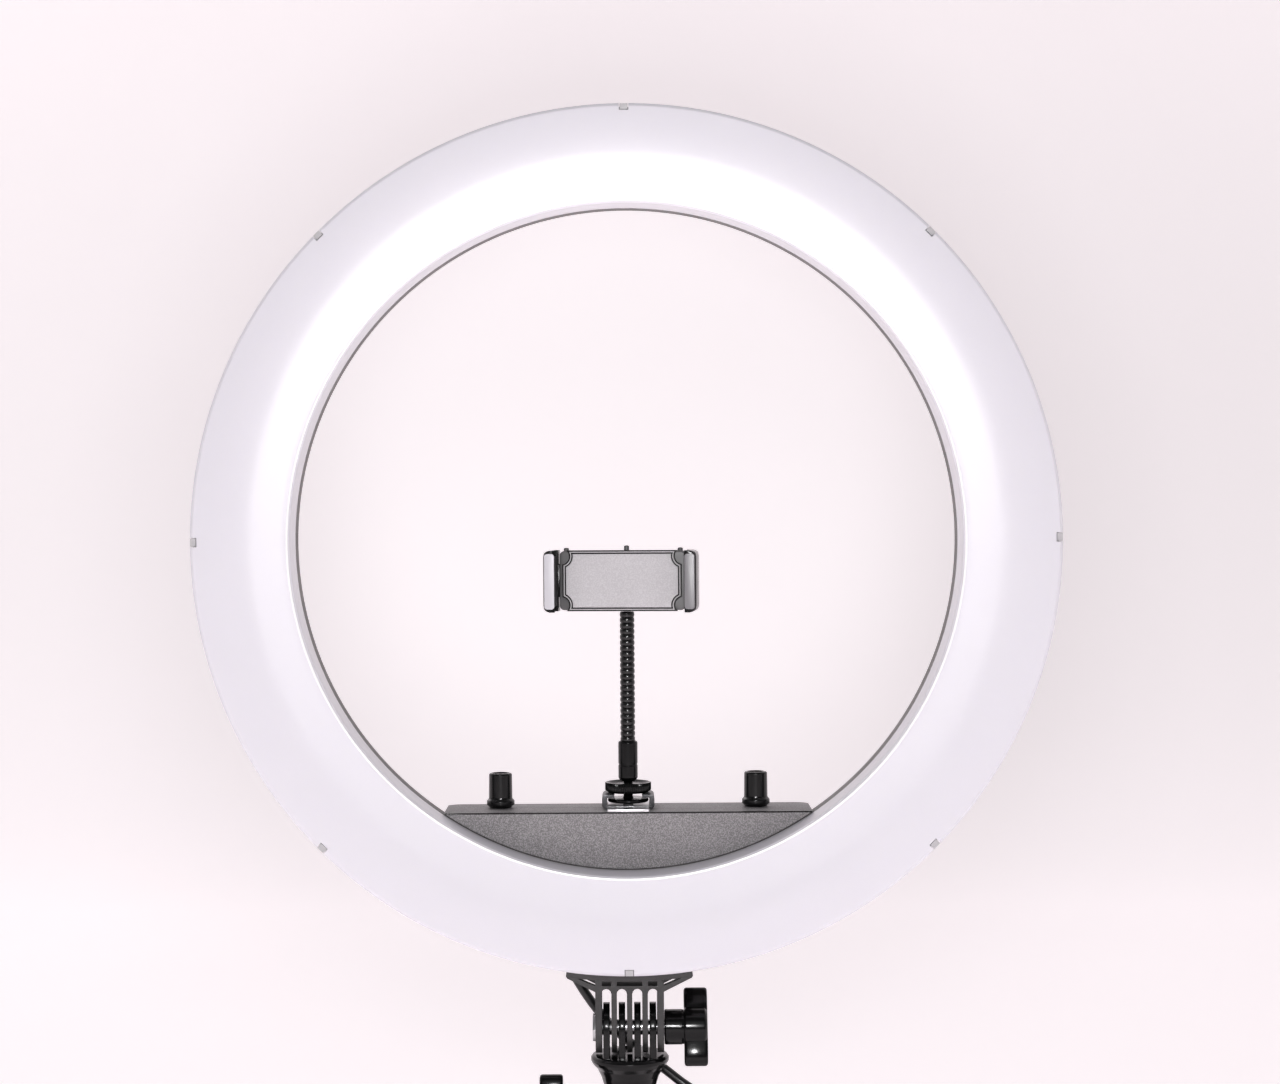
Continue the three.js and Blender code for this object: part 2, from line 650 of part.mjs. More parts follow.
function hexagonX(flats, from, to) {
  const corner = flats / Math.sqrt(3);
  const points = Array.from({ length: 6 }, (_, i) => {
    const angle = (i * Math.PI) / 3;
    return [corner * Math.cos(angle), PIVOT.z + corner * Math.sin(angle)];
  });
  return sweptX(outline(points), from, to);
}

function tiltNut() {
  const outer = -2 * PIVOT.pitch - HEAD.outerFin / 2 - TILT_NUT.out;
  const hexagon = hexagonX(TILT_NUT.flats, outer, outer + TILT_NUT.thick);
  const bore = rodX(PIVOT.bolt + 0.2, -30, 0).translate(0, 0, PIVOT.z);
  return piece('tilt_nut', cut(solid(hexagon), bore), steel());
}

// A hub with a cross bar, along +X from its inner face.
function crossKnob(name, hubLength, barAngle) {
  const { hub, bar, reach, end, boss, bore } = KNOB;
  const barShape = roundedRectangle(-end, -reach, end, reach, end - 0.1);
  const cross = sweptX(barShape, hubLength, hubLength + bar, 4).rotateX(THREE.MathUtils.degToRad(barAngle));
  const body = join(rodX(hub, 0, hubLength + 1, 20), rodX(boss, hubLength, hubLength + bar - 0.4, 20), cross);
  return piece(name, cut(body, rodX(bore, -1, hubLength + 2, 16)), glossBlack());
}

function tiltKnob() {
  const start = 2 * PIVOT.pitch + HEAD.outerFin / 2 + GAP;
  const knob = placed(crossKnob('tilt_knob', 10.2, -25), start, 0, PIVOT.z);
  const tip = -2 * PIVOT.pitch - HEAD.outerFin / 2 - TILT_NUT.out + 0.3;
  const bolt = piece('tilt_bolt', rodX(PIVOT.bolt, tip, start + 11.5, 16), steel());
  return [knob, placed(bolt, 0, 0, PIVOT.z)];
}

function bracketScrew(side, degrees) {
  const mesh = piece(`bracket_screw_${side}`, screw(2, 9, 3.5, 2.4), steel());
  return aimedAtAxis(mesh, HEAD.saddle + GAP, degrees, 3);
}

function tiltHead() {
  return groupAt(
    0, 0, 0, tiltBracket(), tiltNut(), ...tiltKnob(),
    bracketScrew('left', 6), bracketScrew('right', -6),
  );
}

// ---------- stand socket ----------

function socketBody() {
  const { radius, bore, depth, fin, collar, collarZ } = SOCKET;
  const profile = [
    [bore, 0], [radius - 0.8, 0], [radius, 0.8], [radius, 34], [13.9, 36], [15.2, 40], [17.2, 44],
    [collar - 1, 46.4], [collar, collarZ - 0.8], [collar, collarZ + 0.8], [collar - 1, 51],
    [18, 51.3], [0, 51.3], [0, depth], [bore, depth], [bore, 0],
  ];
  const fins = [-1.5, -0.5, 0.5, 1.5].map((place) => {
    const x = place * PIVOT.pitch;
    return sweptX(finShape(50), x - fin / 2, x + fin / 2);
  });
  const body = join(turnedZ(profile, 32), ...fins);
  const pivotHole = rodX(PIVOT.bolt + GAP, -30, 30, 16).translate(0, 0, PIVOT.z);
  const insertHole = rodX(LOCK.insert + GAP, -20, -6).translate(0, 0, LOCK.z);
  return piece('stand_socket', cut(body, pivotHole, insertHole), glossBlack());
}

function lockInsert() {
  const body = cut(solid(rodX(LOCK.insert, -14.2, -9.2)), rodX(LOCK.screw + GAP, -20, -5));
  return placed(piece('lock_insert', body, brass()), 0, 0, LOCK.z);
}

function lockKnob() {
  const { z, screw: radius, hubFrom, hubTo } = LOCK;
  const knob = crossKnob('lock_knob', hubFrom - hubTo, 0);
  knob.rotation.y = Math.PI;
  const shaft = piece('lock_screw', rodX(radius, hubTo - 1.5, -8.6), steel());
  return [placed(knob, hubFrom, 0, z), placed(shaft, 0, 0, z)];
}

function standSocket() {
  return groupAt(0, 0, 0, socketBody(), lockInsert(), ...lockKnob());
}

// ---------- lead ----------

function routePoint(index) {
  return new THREE.Vector3(...CORD_ROUTE[index]);
}

// The strain relief follows the first stretch of the lead, backwards from its start.
function reliefAim() {
  return routePoint(1).sub(routePoint(0)).normalize();
}

function reliefStart() {
  const back = RELIEF.plug + RELIEF.cone + GAP;
  return routePoint(0).addScaledVector(reliefAim(), -back).sub(new THREE.Vector3(0, 0, RING.z));
}

function radialRod(radius, start, aim, length) {
  const turn = new THREE.Quaternion().setFromUnitVectors(UP, aim);
  return rodZ(radius, 0, length, 16).applyQuaternion(turn).translate(start.x, start.y, start.z);
}

function cordRelief() {
  const aim = reliefAim();
  const start = reliefStart().add(new THREE.Vector3(0, 0, RING.z));
  const { stub, plug, cone, wide, narrow } = RELIEF;
  const profile = [
    [0, GAP], [stub, GAP], [stub, plug], [wide, plug], [wide, plug + 3], [narrow, plug + cone],
    [0, plug + cone],
  ];
  const mesh = piece('cord_relief', turnedZ(profile, 16), rubber());
  mesh.quaternion.setFromUnitVectors(UP, aim);
  return placed(mesh, start.x, start.y, start.z);
}

function tubeShape(diameter, sides) {
  return outline(Array.from({ length: sides }, (_, i) => {
    const angle = (i * 2 * Math.PI) / sides;
    return [(diameter / 2) * Math.cos(angle), (diameter / 2) * Math.sin(angle)];
  }));
}

function cord() {
  const path = new THREE.CatmullRomCurve3(CORD_ROUTE.map((point) => new THREE.Vector3(...point)));
  const options = { steps: 14, bevelEnabled: false, extrudePath: path };
  const tube = new THREE.ExtrudeGeometry(tubeShape(CORD.diameter, 8), options);
  return piece('cord', tube, cordBlack());
}

function cordCoil() {
  const { coil, wide, deep } = CORD;
  const sides = 8;
  const profile = Array.from({ length: sides }, (_, i) => {
    const angle = (i * 2 * Math.PI) / sides;
    return [coil + wide * Math.cos(angle), deep * Math.sin(angle)];
  });
  return placed(piece('cord_coil', turnedY(profile, 32), cordBlack()), CORD.coilX, CORD.y, CORD.coilZ);
}

function plugParts() {
  const { top, relief, body, width, thick, pins, pinRadius } = PLUG;
  const x = CORD.coilX + CORD.coil + CORD.last;
  const low = top - relief;
  const foot = low - body;
  const tail = rodZ(CORD.diameter / 2, top, CORD.coilZ - 19.5, 8);
  const cone = [[0, low], [4.6, low], [4.4, low + 4], [3.1, top - GAP], [0, top - GAP]];
  const shape = roundedRectangle(-width / 2, -thick / 2, width / 2, thick / 2, thick / 2 - 0.1);
  const pinHoles = [-4.75, 4.75].map((side) => {
    return rodZ(pinRadius + GAP, foot - 1, foot + 6, 12).translate(side, 0, 0);
  });
  const shell = cut(solid(sweptZ(shape, foot, low - GAP, 5)), ...pinHoles);
  const pin = () => rodZ(pinRadius, foot - pins, foot + 5.7, 12);
  return groupAt(
    x, CORD.y, 0, piece('cord_tail', tail, cordBlack()), piece('plug_relief', turnedZ(cone, 16), rubber()),
    piece('plug_body', shell, rubber()),
    placed(piece('plug_pin_1', pin(), steel()), -4.75, 0, 0),
    placed(piece('plug_pin_2', pin(), steel()), 4.75, 0, 0),
  );
}

// The strap's inner line: round the socket in front, round the coil's bundle behind.
function strapShape(grow) {
  const r = SOCKET.radius + 0.4 + grow;
  const shape = new THREE.Shape();
  shape.absarc(0, 0, r, Math.PI * 0.96, 2 * Math.PI, false);
  shape.absarc(23, 28.6, 2.4 + grow, 0, Math.PI / 2, false);
  shape.absarc(-4, 28.6, 2.4 + grow, Math.PI / 2, Math.PI * 0.93, false);
  return shape;
}

function cordTie() {
  const body = cut(solid(sweptZ(strapShape(1.4), 0.8, 5.8, 8)), sweptZ(strapShape(0), 0, 9, 8));
  return piece('cord_tie', body, rubber());
}

function lead() {
  return groupAt(0, 0, 0, cordRelief(), cord(), cordCoil(), plugParts(), cordTie());
}

// ---------- the whole light ----------

const ringLight = new THREE.Group();
ringLight.name = 'ring_light';
ringLight.add(ring(), controlBox(), gooseneck(), phoneHolder(), tiltHead(), standSocket(), lead());

export default ringLight;
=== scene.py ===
import math

import bmesh
import bpy
from mathutils import Matrix, Vector


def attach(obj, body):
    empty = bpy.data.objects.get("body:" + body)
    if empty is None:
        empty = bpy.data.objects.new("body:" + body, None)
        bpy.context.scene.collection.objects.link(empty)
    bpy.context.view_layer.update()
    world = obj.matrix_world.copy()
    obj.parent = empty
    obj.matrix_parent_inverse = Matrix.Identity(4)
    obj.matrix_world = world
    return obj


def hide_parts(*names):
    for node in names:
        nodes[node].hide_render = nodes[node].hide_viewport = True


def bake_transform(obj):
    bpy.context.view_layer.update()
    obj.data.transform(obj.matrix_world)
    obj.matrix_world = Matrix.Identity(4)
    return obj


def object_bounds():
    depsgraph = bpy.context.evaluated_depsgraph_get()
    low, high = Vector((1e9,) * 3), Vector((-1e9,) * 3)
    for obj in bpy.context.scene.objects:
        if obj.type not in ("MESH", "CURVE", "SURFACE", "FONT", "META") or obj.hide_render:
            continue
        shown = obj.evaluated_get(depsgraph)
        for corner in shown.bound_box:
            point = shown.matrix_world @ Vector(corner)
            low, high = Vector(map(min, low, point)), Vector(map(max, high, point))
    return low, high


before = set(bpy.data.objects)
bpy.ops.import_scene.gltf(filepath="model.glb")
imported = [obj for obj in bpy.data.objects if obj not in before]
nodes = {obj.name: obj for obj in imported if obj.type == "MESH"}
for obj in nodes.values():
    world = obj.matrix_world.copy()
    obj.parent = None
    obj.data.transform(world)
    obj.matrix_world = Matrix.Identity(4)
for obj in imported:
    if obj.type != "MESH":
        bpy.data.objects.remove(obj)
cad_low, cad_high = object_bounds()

MM = 0.001
BEVEL_ANGLE = math.radians(32)
scene = bpy.context.scene


def mm(*values):
    """A point given in millimetres, in metres."""
    return Vector([value * MM for value in values])


# ---------- camera ----------

def make_camera():
    data = bpy.data.cameras.new("camera")
    data.sensor_width = 36
    data.lens = 68.46
    data.shift_x = 0.0108
    data.shift_y = -0.0352
    data.clip_start = 0.01
    data.clip_end = 50
    camera = bpy.data.objects.new("camera", data)
    roll = Matrix.Rotation(math.radians(-0.39), 4, "Z")
    camera.matrix_world = Matrix.Translation((0, -1.272, 0.342)) @ Matrix.Rotation(math.pi / 2, 4, "X") @ roll
    scene.collection.objects.link(camera)
    scene.camera = camera


make_camera()


# ---------- materials ----------

def node_of(tree, kind, **inputs):
    made = tree.nodes.new(kind)
    for name, value in inputs.items():
        made.inputs[name.replace("_", " ")].default_value = value
    return made


def noise(tree, coords, scale, detail=4.0, roughness=0.55):
    made = node_of(tree, "ShaderNodeTexNoise", Scale=scale, Detail=detail, Roughness=roughness)
    tree.links.new(coords, made.inputs["Vector"])
    return made.outputs["Fac"]


def ramp(tree, source, low, high, first, last):
    """first where source is below low, last where it is above high."""
    made = tree.nodes.new("ShaderNodeMapRange")
    made.clamp = True
    for name, value in (("From Min", low), ("From Max", high), ("To Min", first), ("To Max", last)):
        made.inputs[name].default_value = value
    tree.links.new(source, made.inputs["Value"])
    return made.outputs["Result"]


def mixed(tree, factor, first, last):
    made = tree.nodes.new("ShaderNodeMix")
    made.data_type = "RGBA"
    tree.links.new(factor, made.inputs["Factor"])
    for name, value in (("A", first), ("B", last)):
        socket = [s for s in made.inputs if s.name == name and s.type == "RGBA"][0]
        if isinstance(value, tuple):
            socket.default_value = value
        else:
            tree.links.new(value, socket)
    return [s for s in made.outputs if s.type == "RGBA"][0]


def shade(colour, factor):
    return (*[min(1.0, channel * factor) for channel in colour], 1.0)


def material(
    name, colour, rough, metallic=0.0, grain=900.0, depth=0.0002, mottle=0.12, spread=0.08,
    edge=0.0, edge_colour=None, coat=0.0, level=0.5, scratches=0.0, subsurface=0.0, speckle=0.0,
    anisotropy=0.0,
):
    """A procedural finish: grain, mottled colour and gloss, rubbed edges and hairline scratches."""
    made = bpy.data.materials.new(name)
    made.use_nodes = True
    tree = made.node_tree
    shader = tree.nodes["Principled BSDF"]
    coords = tree.nodes.new("ShaderNodeTexCoord").outputs["Object"]
    broad = noise(tree, coords, 35, 5)
    fine = noise(tree, coords, grain, 3)
    cloud = ramp(tree, broad, 0.3, 0.7, 0, 1)
    base = mixed(tree, cloud, shade(colour, 1 - mottle), shade(colour, 1 + mottle))
    if speckle:
        spots = ramp(tree, noise(tree, coords, grain * 0.8, 2), 0.44, 0.6, 0, 1)
        base = mixed(tree, ramp(tree, spots, 0, 1, 0, speckle), base, shade(colour, 2.2))
    if edge:
        bevel = node_of(tree, "ShaderNodeBevel", Radius=0.0006)
        bevel.samples = 4
        geometry = tree.nodes.new("ShaderNodeNewGeometry")
        dot = tree.nodes.new("ShaderNodeVectorMath")
        dot.operation = "DOT_PRODUCT"
        tree.links.new(bevel.outputs["Normal"], dot.inputs[0])
        tree.links.new(geometry.outputs["Normal"], dot.inputs[1])
        rubbed = ramp(tree, dot.outputs["Value"], 0.9, 0.995, edge, 0)
        base = mixed(tree, rubbed, base, edge_colour or shade(colour, 2.5))
    tree.links.new(base, shader.inputs["Base Color"])
    gloss = ramp(tree, noise(tree, coords, 110, 4), 0.3, 0.7, rough * (1 - spread), rough * (1 + spread))
    tree.links.new(gloss, shader.inputs["Roughness"])
    shader.inputs["Metallic"].default_value = metallic
    shader.inputs["Specular IOR Level"].default_value = level
    shader.inputs["Coat Weight"].default_value = coat
    shader.inputs["Coat Roughness"].default_value = 0.08
    shader.inputs["Anisotropic"].default_value = anisotropy
    if subsurface:
        shader.inputs["Subsurface Weight"].default_value = subsurface
        shader.inputs["Subsurface Radius"].default_value = (0.006, 0.006, 0.007)
        shader.inputs["Subsurface Scale"].default_value = 1.0
    bump = node_of(tree, "ShaderNodeBump", Strength=0.6, Distance=depth)
    tree.links.new(fine, bump.inputs["Height"])
    if scratches:
        stretch = tree.nodes.new("ShaderNodeMapping")
        stretch.inputs["Scale"].default_value = (1, 1, 18)
        stretch.inputs["Rotation"].default_value = (0.5, 0.9, 0.3)
        tree.links.new(coords, stretch.inputs["Vector"])
        lines = ramp(tree, noise(tree, stretch.outputs["Vector"], 60, 2), 0.66, 0.7, 0, 1)
        scratch = node_of(tree, "ShaderNodeBump", Strength=scratches, Distance=0.00003)
        tree.links.new(lines, scratch.inputs["Height"])
        tree.links.new(scratch.outputs["Normal"], bump.inputs["Normal"])
    tree.links.new(bump.outputs["Normal"], shader.inputs["Normal"])
    return made


MILKY = material("milky_acrylic", (0.80, 0.785, 0.845), 0.26, grain=900, depth=0.000004, mottle=0.003,
                 subsurface=0.2, scratches=0.015, spread=0.03)
# A whiter, glossier copy of the milky acrylic for the bead round the ring's inner edge: a painted highlight
# along the rounded edge.
LIP_PAINTED_HIGHLIGHT = material("lip_painted_highlight", (0.97, 0.965, 0.975), 0.18, grain=900, depth=0.000004, mottle=0.003, spread=0.03)
# Two greys for the two like jaw faces, set by how each is lit: the lighter for the left is painted light, the
# darker for the right is painted shade.
JAW_PAINTED_LIT = material("jaw_painted_lit", (0.62, 0.61, 0.645), 0.3, grain=1400, depth=0.00003, mottle=0.05, level=0.4)
JAW_PAINTED_SHADE = material("jaw_face", (0.22, 0.215, 0.225), 0.3, grain=1400, depth=0.00003, mottle=0.08, level=0.4)
HOLDER_GREY = material("holder_grey", (0.10, 0.098, 0.10), 0.4, grain=1300, depth=0.00008, edge=0.15)
# Mid grey: the ring's clip tabs, and the painted highlight on the holder frame's rim.
MID_GREY = material("mid_grey_plastic", (0.50, 0.49, 0.50), 0.35, grain=900, depth=0.00003, mottle=0.05)
SHELL = material("shell_plastic", (0.13, 0.122, 0.12), 0.5, grain=1500, depth=0.00012, edge=0.3, speckle=0.1)
PANEL = material("panel_plastic", (0.185, 0.178, 0.181), 0.5, grain=2300, depth=0.0004, speckle=0.8)
BOARD_WHITE = material("board_white", (0.75, 0.75, 0.72), 0.4, grain=500, depth=0.00003, mottle=0.04)
BOARD_GREEN = material("board_green", (0.02, 0.11, 0.05), 0.4, grain=400, depth=0.00003)
GLOSS = material("gloss_black", (0.003, 0.003, 0.0032), 0.16, grain=900, depth=0.00001, level=0.26,
                 scratches=0.25, spread=0.3, edge=0.08, edge_colour=(0.04, 0.04, 0.04, 1))
DIAL_BLACK = material("dial_black", (0.003, 0.003, 0.0032), 0.2, grain=900, depth=0.000006, level=0.4,
                      spread=0.1)
CAP_BROWN = material("cap_brown", (0.035, 0.024, 0.018), 0.3, grain=900, depth=0.00003)
NECK_BLACK = material("neck_black", (0.005, 0.005, 0.005), 0.25, grain=700, depth=0.00004, edge=0.15,
                      edge_colour=(0.09, 0.09, 0.088, 1), coat=0.15)
DARK = material("dark_plastic", (0.032, 0.031, 0.031), 0.42, grain=1300, depth=0.0001, edge=0.25,
                edge_colour=(0.11, 0.105, 0.105, 1), speckle=0.06)
STEEL = material("steel", (0.56, 0.56, 0.57), 0.28, metallic=1, grain=500, depth=0.00004, scratches=0.3)
SHEET = material("grey_sheet", (0.075, 0.075, 0.08), 0.36, metallic=0.6, grain=600, depth=0.00005, edge=0.1,
                 scratches=0.4, anisotropy=0.4)
BRIGHT = material("bright_plate", (0.86, 0.855, 0.87), 0.3, metallic=0.85, grain=600, depth=0.00003,
                  scratches=0.3)
BRASS = material("brass", (0.60, 0.42, 0.16), 0.33, metallic=1, grain=600, depth=0.00004)
PAD = material("pad_grey", (0.50, 0.485, 0.50), 0.5, grain=1700, depth=0.00028, mottle=0.05, speckle=0.15)
RUBBER = material("rubber_black", (0.016, 0.016, 0.0165), 0.62, grain=1100, depth=0.0001, edge=0.15)
CORD_BLACK = material("cord_black", (0.008, 0.008, 0.0085), 0.3, grain=1300, depth=0.00003, mottle=0.2)


# ---------- mesh tools ----------

def add_mesh(name, vertices, faces, finish, smooth_angle=35):
    mesh = bpy.data.meshes.new(name)
    mesh.from_pydata([tuple(v) for v in vertices], [], faces)
    mesh.validate()
    made = bpy.data.objects.new(name, mesh)
    scene.collection.objects.link(made)
    bm = bmesh.new()
    bm.from_mesh(mesh)
    bmesh.ops.remove_doubles(bm, verts=bm.verts, dist=1e-7)
    bmesh.ops.recalc_face_normals(bm, faces=bm.faces)
    bm.to_mesh(mesh)
    bm.free()
    mesh.materials.append(finish)
    smooth(mesh, smooth_angle)
    return made


def smooth(mesh, degrees):
    mesh.polygons.foreach_set("use_smooth", [True] * len(mesh.polygons))
    mesh.set_sharp_from_angle(angle=math.radians(degrees))


def fillet(points, closed, steps=4):
    """Rounds the corners of a polyline of (a, b) or (a, b, corner radius) points."""
    rounded = []
    count = len(points)
    for i, point in enumerate(points):
        here = Vector(point[:2])
        radius = point[2] if len(point) > 2 else 0
        if not radius or (not closed and i in (0, count - 1)):
            rounded.append(here)
            continue
        before = Vector(points[i - 1][:2]) - here
        after = Vector(points[(i + 1) % count][:2]) - here
        turn = before.angle(after)
        reach = min(radius / math.tan(turn / 2), before.length * 0.49, after.length * 0.49)
        start, end = here + before.normalized() * reach, here + after.normalized() * reach
        for step in range(steps + 1):
            t = step / steps
            rounded.append((1 - t) ** 2 * start + 2 * t * (1 - t) * here + t ** 2 * end)
    return rounded


def lathe(
    name, profile, finish, segments=64, closed=False, place=None, steps=4, wobble=None, smooth_angle=35,
):
    """Turns a profile of (radius, height) millimetres about Z, then puts it at place."""
    points = fillet(profile, closed, steps)
    vertices = []
    faces = []
    for i in range(segments):
        angle = 2 * math.pi * i / segments
        for radius, height in points:
            grow = wobble(radius, height, angle) if wobble else 0
            r = radius + grow
            vertices.append(mm(r * math.cos(angle), r * math.sin(angle), height))
    count = len(points)
    for i in range(segments):
        j = (i + 1) % segments
        for k in range(count if closed else count - 1):
            n = (k + 1) % count
            quad = [i * count + k, j * count + k, j * count + n, i * count + n]
            faces.append(quad)
    made = add_mesh(name, vertices, faces, finish, smooth_angle)
    if place is not None:
        made.data.transform(place)
    return made


def at(x, y, z):
    return Matrix.Translation(mm(x, y, z))


def loft(name, loops, finish, smooth_angle=35, ring=False):
    """Joins loops of equally many points (millimetres) into one skin, capped unless it is a ring."""
    count = len(loops[0])
    vertices = [mm(*point) for loop in loops for point in loop]
    faces = []
    total = len(loops)
    for k in range(total if ring else total - 1):
        n = (k + 1) % total
        for i in range(count):
            j = (i + 1) % count
            faces.append([k * count + i, k * count + j, n * count + j, n * count + i])
    if not ring:
        faces.append(list(range(count))[::-1])
        faces.append([(total - 1) * count + i for i in range(count)])
    return add_mesh(name, vertices, faces, finish, smooth_angle)


def rounded_outline(x0, z0, x1, z1, radius, steps=8):
    corners = [(x1 - radius, z0 + radius, -90), (x1 - radius, z1 - radius, 0),
               (x0 + radius, z1 - radius, 90), (x0 + radius, z0 + radius, 180)]
    points = []
    for x, z, start in corners:
        for step in range(steps + 1):
            angle = math.radians(start + 90 * step / steps)
            points.append((x + radius * math.cos(angle), z + radius * math.sin(angle)))
    return points


def slab(name, outline, low, high, finish, edge=0.5, axis="Y"):
    """An outline with rounded rims, thick from low to high along an axis, all in millimetres."""
    rims = [(1.0, 0.0), (0.62, 0.08), (0.29, 0.29), (0.08, 0.62), (0.0, 1.0)]
    levels = [(inset * edge, low + depth * edge) for inset, depth in rims]
    levels += [(inset * edge, high - depth * edge) for inset, depth in rims[::-1]]
    loops = []
    for inset, level in levels:
        loop = []
        for i, point in enumerate(outline):
            tangent = Vector(outline[(i + 1) % len(outline)]) - Vector(outline[i - 1])
            normal = Vector((-tangent.y, tangent.x)).normalized()
            moved = Vector(point) + normal * inset
            if axis == "Y":
                loop.append((moved.x, level, moved.y))
            elif axis == "X":
                loop.append((level, moved.x, moved.y))
            else:
                loop.append((moved.x, moved.y, level))
        loops.append(loop)
    return loft(name, loops, finish)


def box_mesh(name, low, high, finish, edge=0.3):
    outline = rounded_outline(low[0], low[2], high[0], high[2], max(edge, 0.05), 3)
    return slab(name, outline, low[1], high[1], finish, edge)


def joined(name, pieces):
    """Makes one piece of several meshes, and removes them."""
    bm = bmesh.new()
    for other in pieces:
        bm.from_mesh(other.data)
    mesh = bpy.data.meshes.new(name)
    bm.to_mesh(mesh)
    bm.free()
    mesh.materials.append(pieces[0].data.materials[0])
    for other in pieces:
        bpy.data.objects.remove(other)
    made = bpy.data.objects.new(name, mesh)
    scene.collection.objects.link(made)
    smooth(mesh, 35)
    return made


def carved(body, tools, operation="DIFFERENCE"):
    """Cuts the tools out of a mesh, or adds them, and removes them."""
    for tool in tools:
        change = body.modifiers.new("carve", "BOOLEAN")
        change.operation = operation
        change.solver = "EXACT"
        change.object = tool
    bpy.context.view_layer.update()
    evaluated = body.evaluated_get(bpy.context.evaluated_depsgraph_get())
    mesh = bpy.data.meshes.new_from_object(evaluated)
    body.modifiers.clear()
    body.data = mesh
    smooth(mesh, 35)
    for tool in tools:
        bpy.data.objects.remove(tool)
    return body


def settle(piece, body, slot, *replaced):
    """Rides a piece on its body and hides the CAD nodes that it stands for; the slot is not used."""
    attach(piece, body)
    if replaced:
        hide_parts(*replaced)
    return piece


def finish_node(name, finish, bevel=0.4, segments=2):
    """Keeps a CAD node, with softened edges and a procedural material."""
    made = nodes[name]
    for slot in made.material_slots:
        slot.material = finish
    weld = made.modifiers.new("weld", "WELD")
    weld.merge_threshold = 1e-6
    if bevel:
        change = made.modifiers.new("soft_edges", "BEVEL")
        change.width = bevel * MM
        change.segments = segments
        change.limit_method = "ANGLE"
        change.angle_limit = BEVEL_ANGLE
        change.harden_normals = False
        change.use_clamp_overlap = True
    made.data.polygons.foreach_set("use_smooth", [True] * len(made.data.polygons))
    made.data.set_sharp_from_angle(angle=math.radians(50))
    return made


# ---------- lead ----------

CORD_DIAMETER = 5.0
ROUTE = [
    (-34.6, 18.3, 99.4), (-30.9, 18.3, 92.0), (-27.0, 18.5, 84.9), (-22.4, 19.0, 77.6),
    (-17.4, 20.0, 70.4), (-11.9, 21.8, 63.4), (-5.8, 23.6, 56.8), (0.8, 24.8, 50.8),
    (7.6, 25.2, 45.3), (14.2, 25.1, 40.3), (20.9, 24.6, 35.3), (27.2, 24.0, 30.4),
    (33.5, 22.4, 26.5), (39.5, 20.6, 22.8),
]
COIL = {"x": 30, "y": 23.5, "z": -10, "radius": 27.5, "start": 62, "turns": 9 + 62 / 360}
COIL_SEATS = [(5, -4.33), (0, -4.33), (-5, -4.33), (-7.5, 0), (-5, 4.33), (-2.5, 0), (2.5, 0),
              (0, 4.33), (5, 4.33), (7.5, 0)]
PLUG = {"x": 65, "top": -48.0, "low": -68.0, "foot": -92.0, "tip": -109.0}
STEPS_PER_TURN = 24


def seat(turn):
    """Where in the bundle's section the winding lies after so many turns."""
    offset = Vector(COIL_SEATS[0])
    for k in range(len(COIL_SEATS) - 1):
        centre = k + 0.86 - 0.085 * k
        t = min(1, max(0, (turn - centre) / 0.26 + 0.5))
        step = Vector(COIL_SEATS[k + 1]) - Vector(COIL_SEATS[k])
        offset += step * (t * t * (3 - 2 * t))
    return offset


def cord_points():
    points = [Vector(point) for point in ROUTE]
    total = round(COIL["turns"] * STEPS_PER_TURN)
    for i in range(total + 1):
        turn = COIL["turns"] * i / total
        offset = seat(turn)
        angle = math.radians(COIL["start"]) - 2 * math.pi * turn
        radius = COIL["radius"] + offset.x
        points.append(Vector((COIL["x"] + radius * math.cos(angle), COIL["y"] + offset.y,
                              COIL["z"] + radius * math.sin(angle))))
    for z in (-16, -22, -28, -34, -40, -45, -47.8):
        points.append(Vector((PLUG["x"], COIL["y"], z)))
    return points


def tube(name, points, diameter, finish, sides=14, smooth_steps=2):
    """A round tube on a smooth curve through the points, in millimetres."""
    line = []
    last = len(points) - 1
    for i in range(last):
        p0, p1, p2, p3 = points[max(i - 1, 0)], points[i], points[i + 1], points[min(i + 2, last)]
        for step in range(smooth_steps):
            t = step / smooth_steps
            line.append(0.5 * (2 * p1 + (p2 - p0) * t + (2 * p0 - 5 * p1 + 4 * p2 - p3) * t * t
                               + (3 * p1 - p0 - 3 * p2 + p3) * t ** 3))
    line.append(points[-1])
    loops = []
    side = None
    for i, point in enumerate(line):
        along = (line[min(i + 1, len(line) - 1)] - line[max(i - 1, 0)]).normalized()
        if side is None:
            side = along.orthogonal().normalized()
        side = (side - along * side.dot(along)).normalized()
        other = along.cross(side)
        loop = []
        for k in range(sides):
            angle = 2 * math.pi * k / sides
            loop.append(point + (side * math.cos(angle) + other * math.sin(angle)) * diameter / 2)
        loops.append(loop)
    return loft(name, loops, finish), line


def make_lead():
    points = cord_points()
    lead, line = tube("lead", points, CORD_DIAMETER, CORD_BLACK)
    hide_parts("cord", "cord_coil", "cord_tail")
    body = make_plug_body()
    relief = make_plug_relief()
    pins = [finish_node("plug_pin_1", STEEL, 0.5), finish_node("plug_pin_2", STEEL, 0.5)]
    tie = finish_node("cord_tie", RUBBER, 0.3)
    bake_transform(lead)


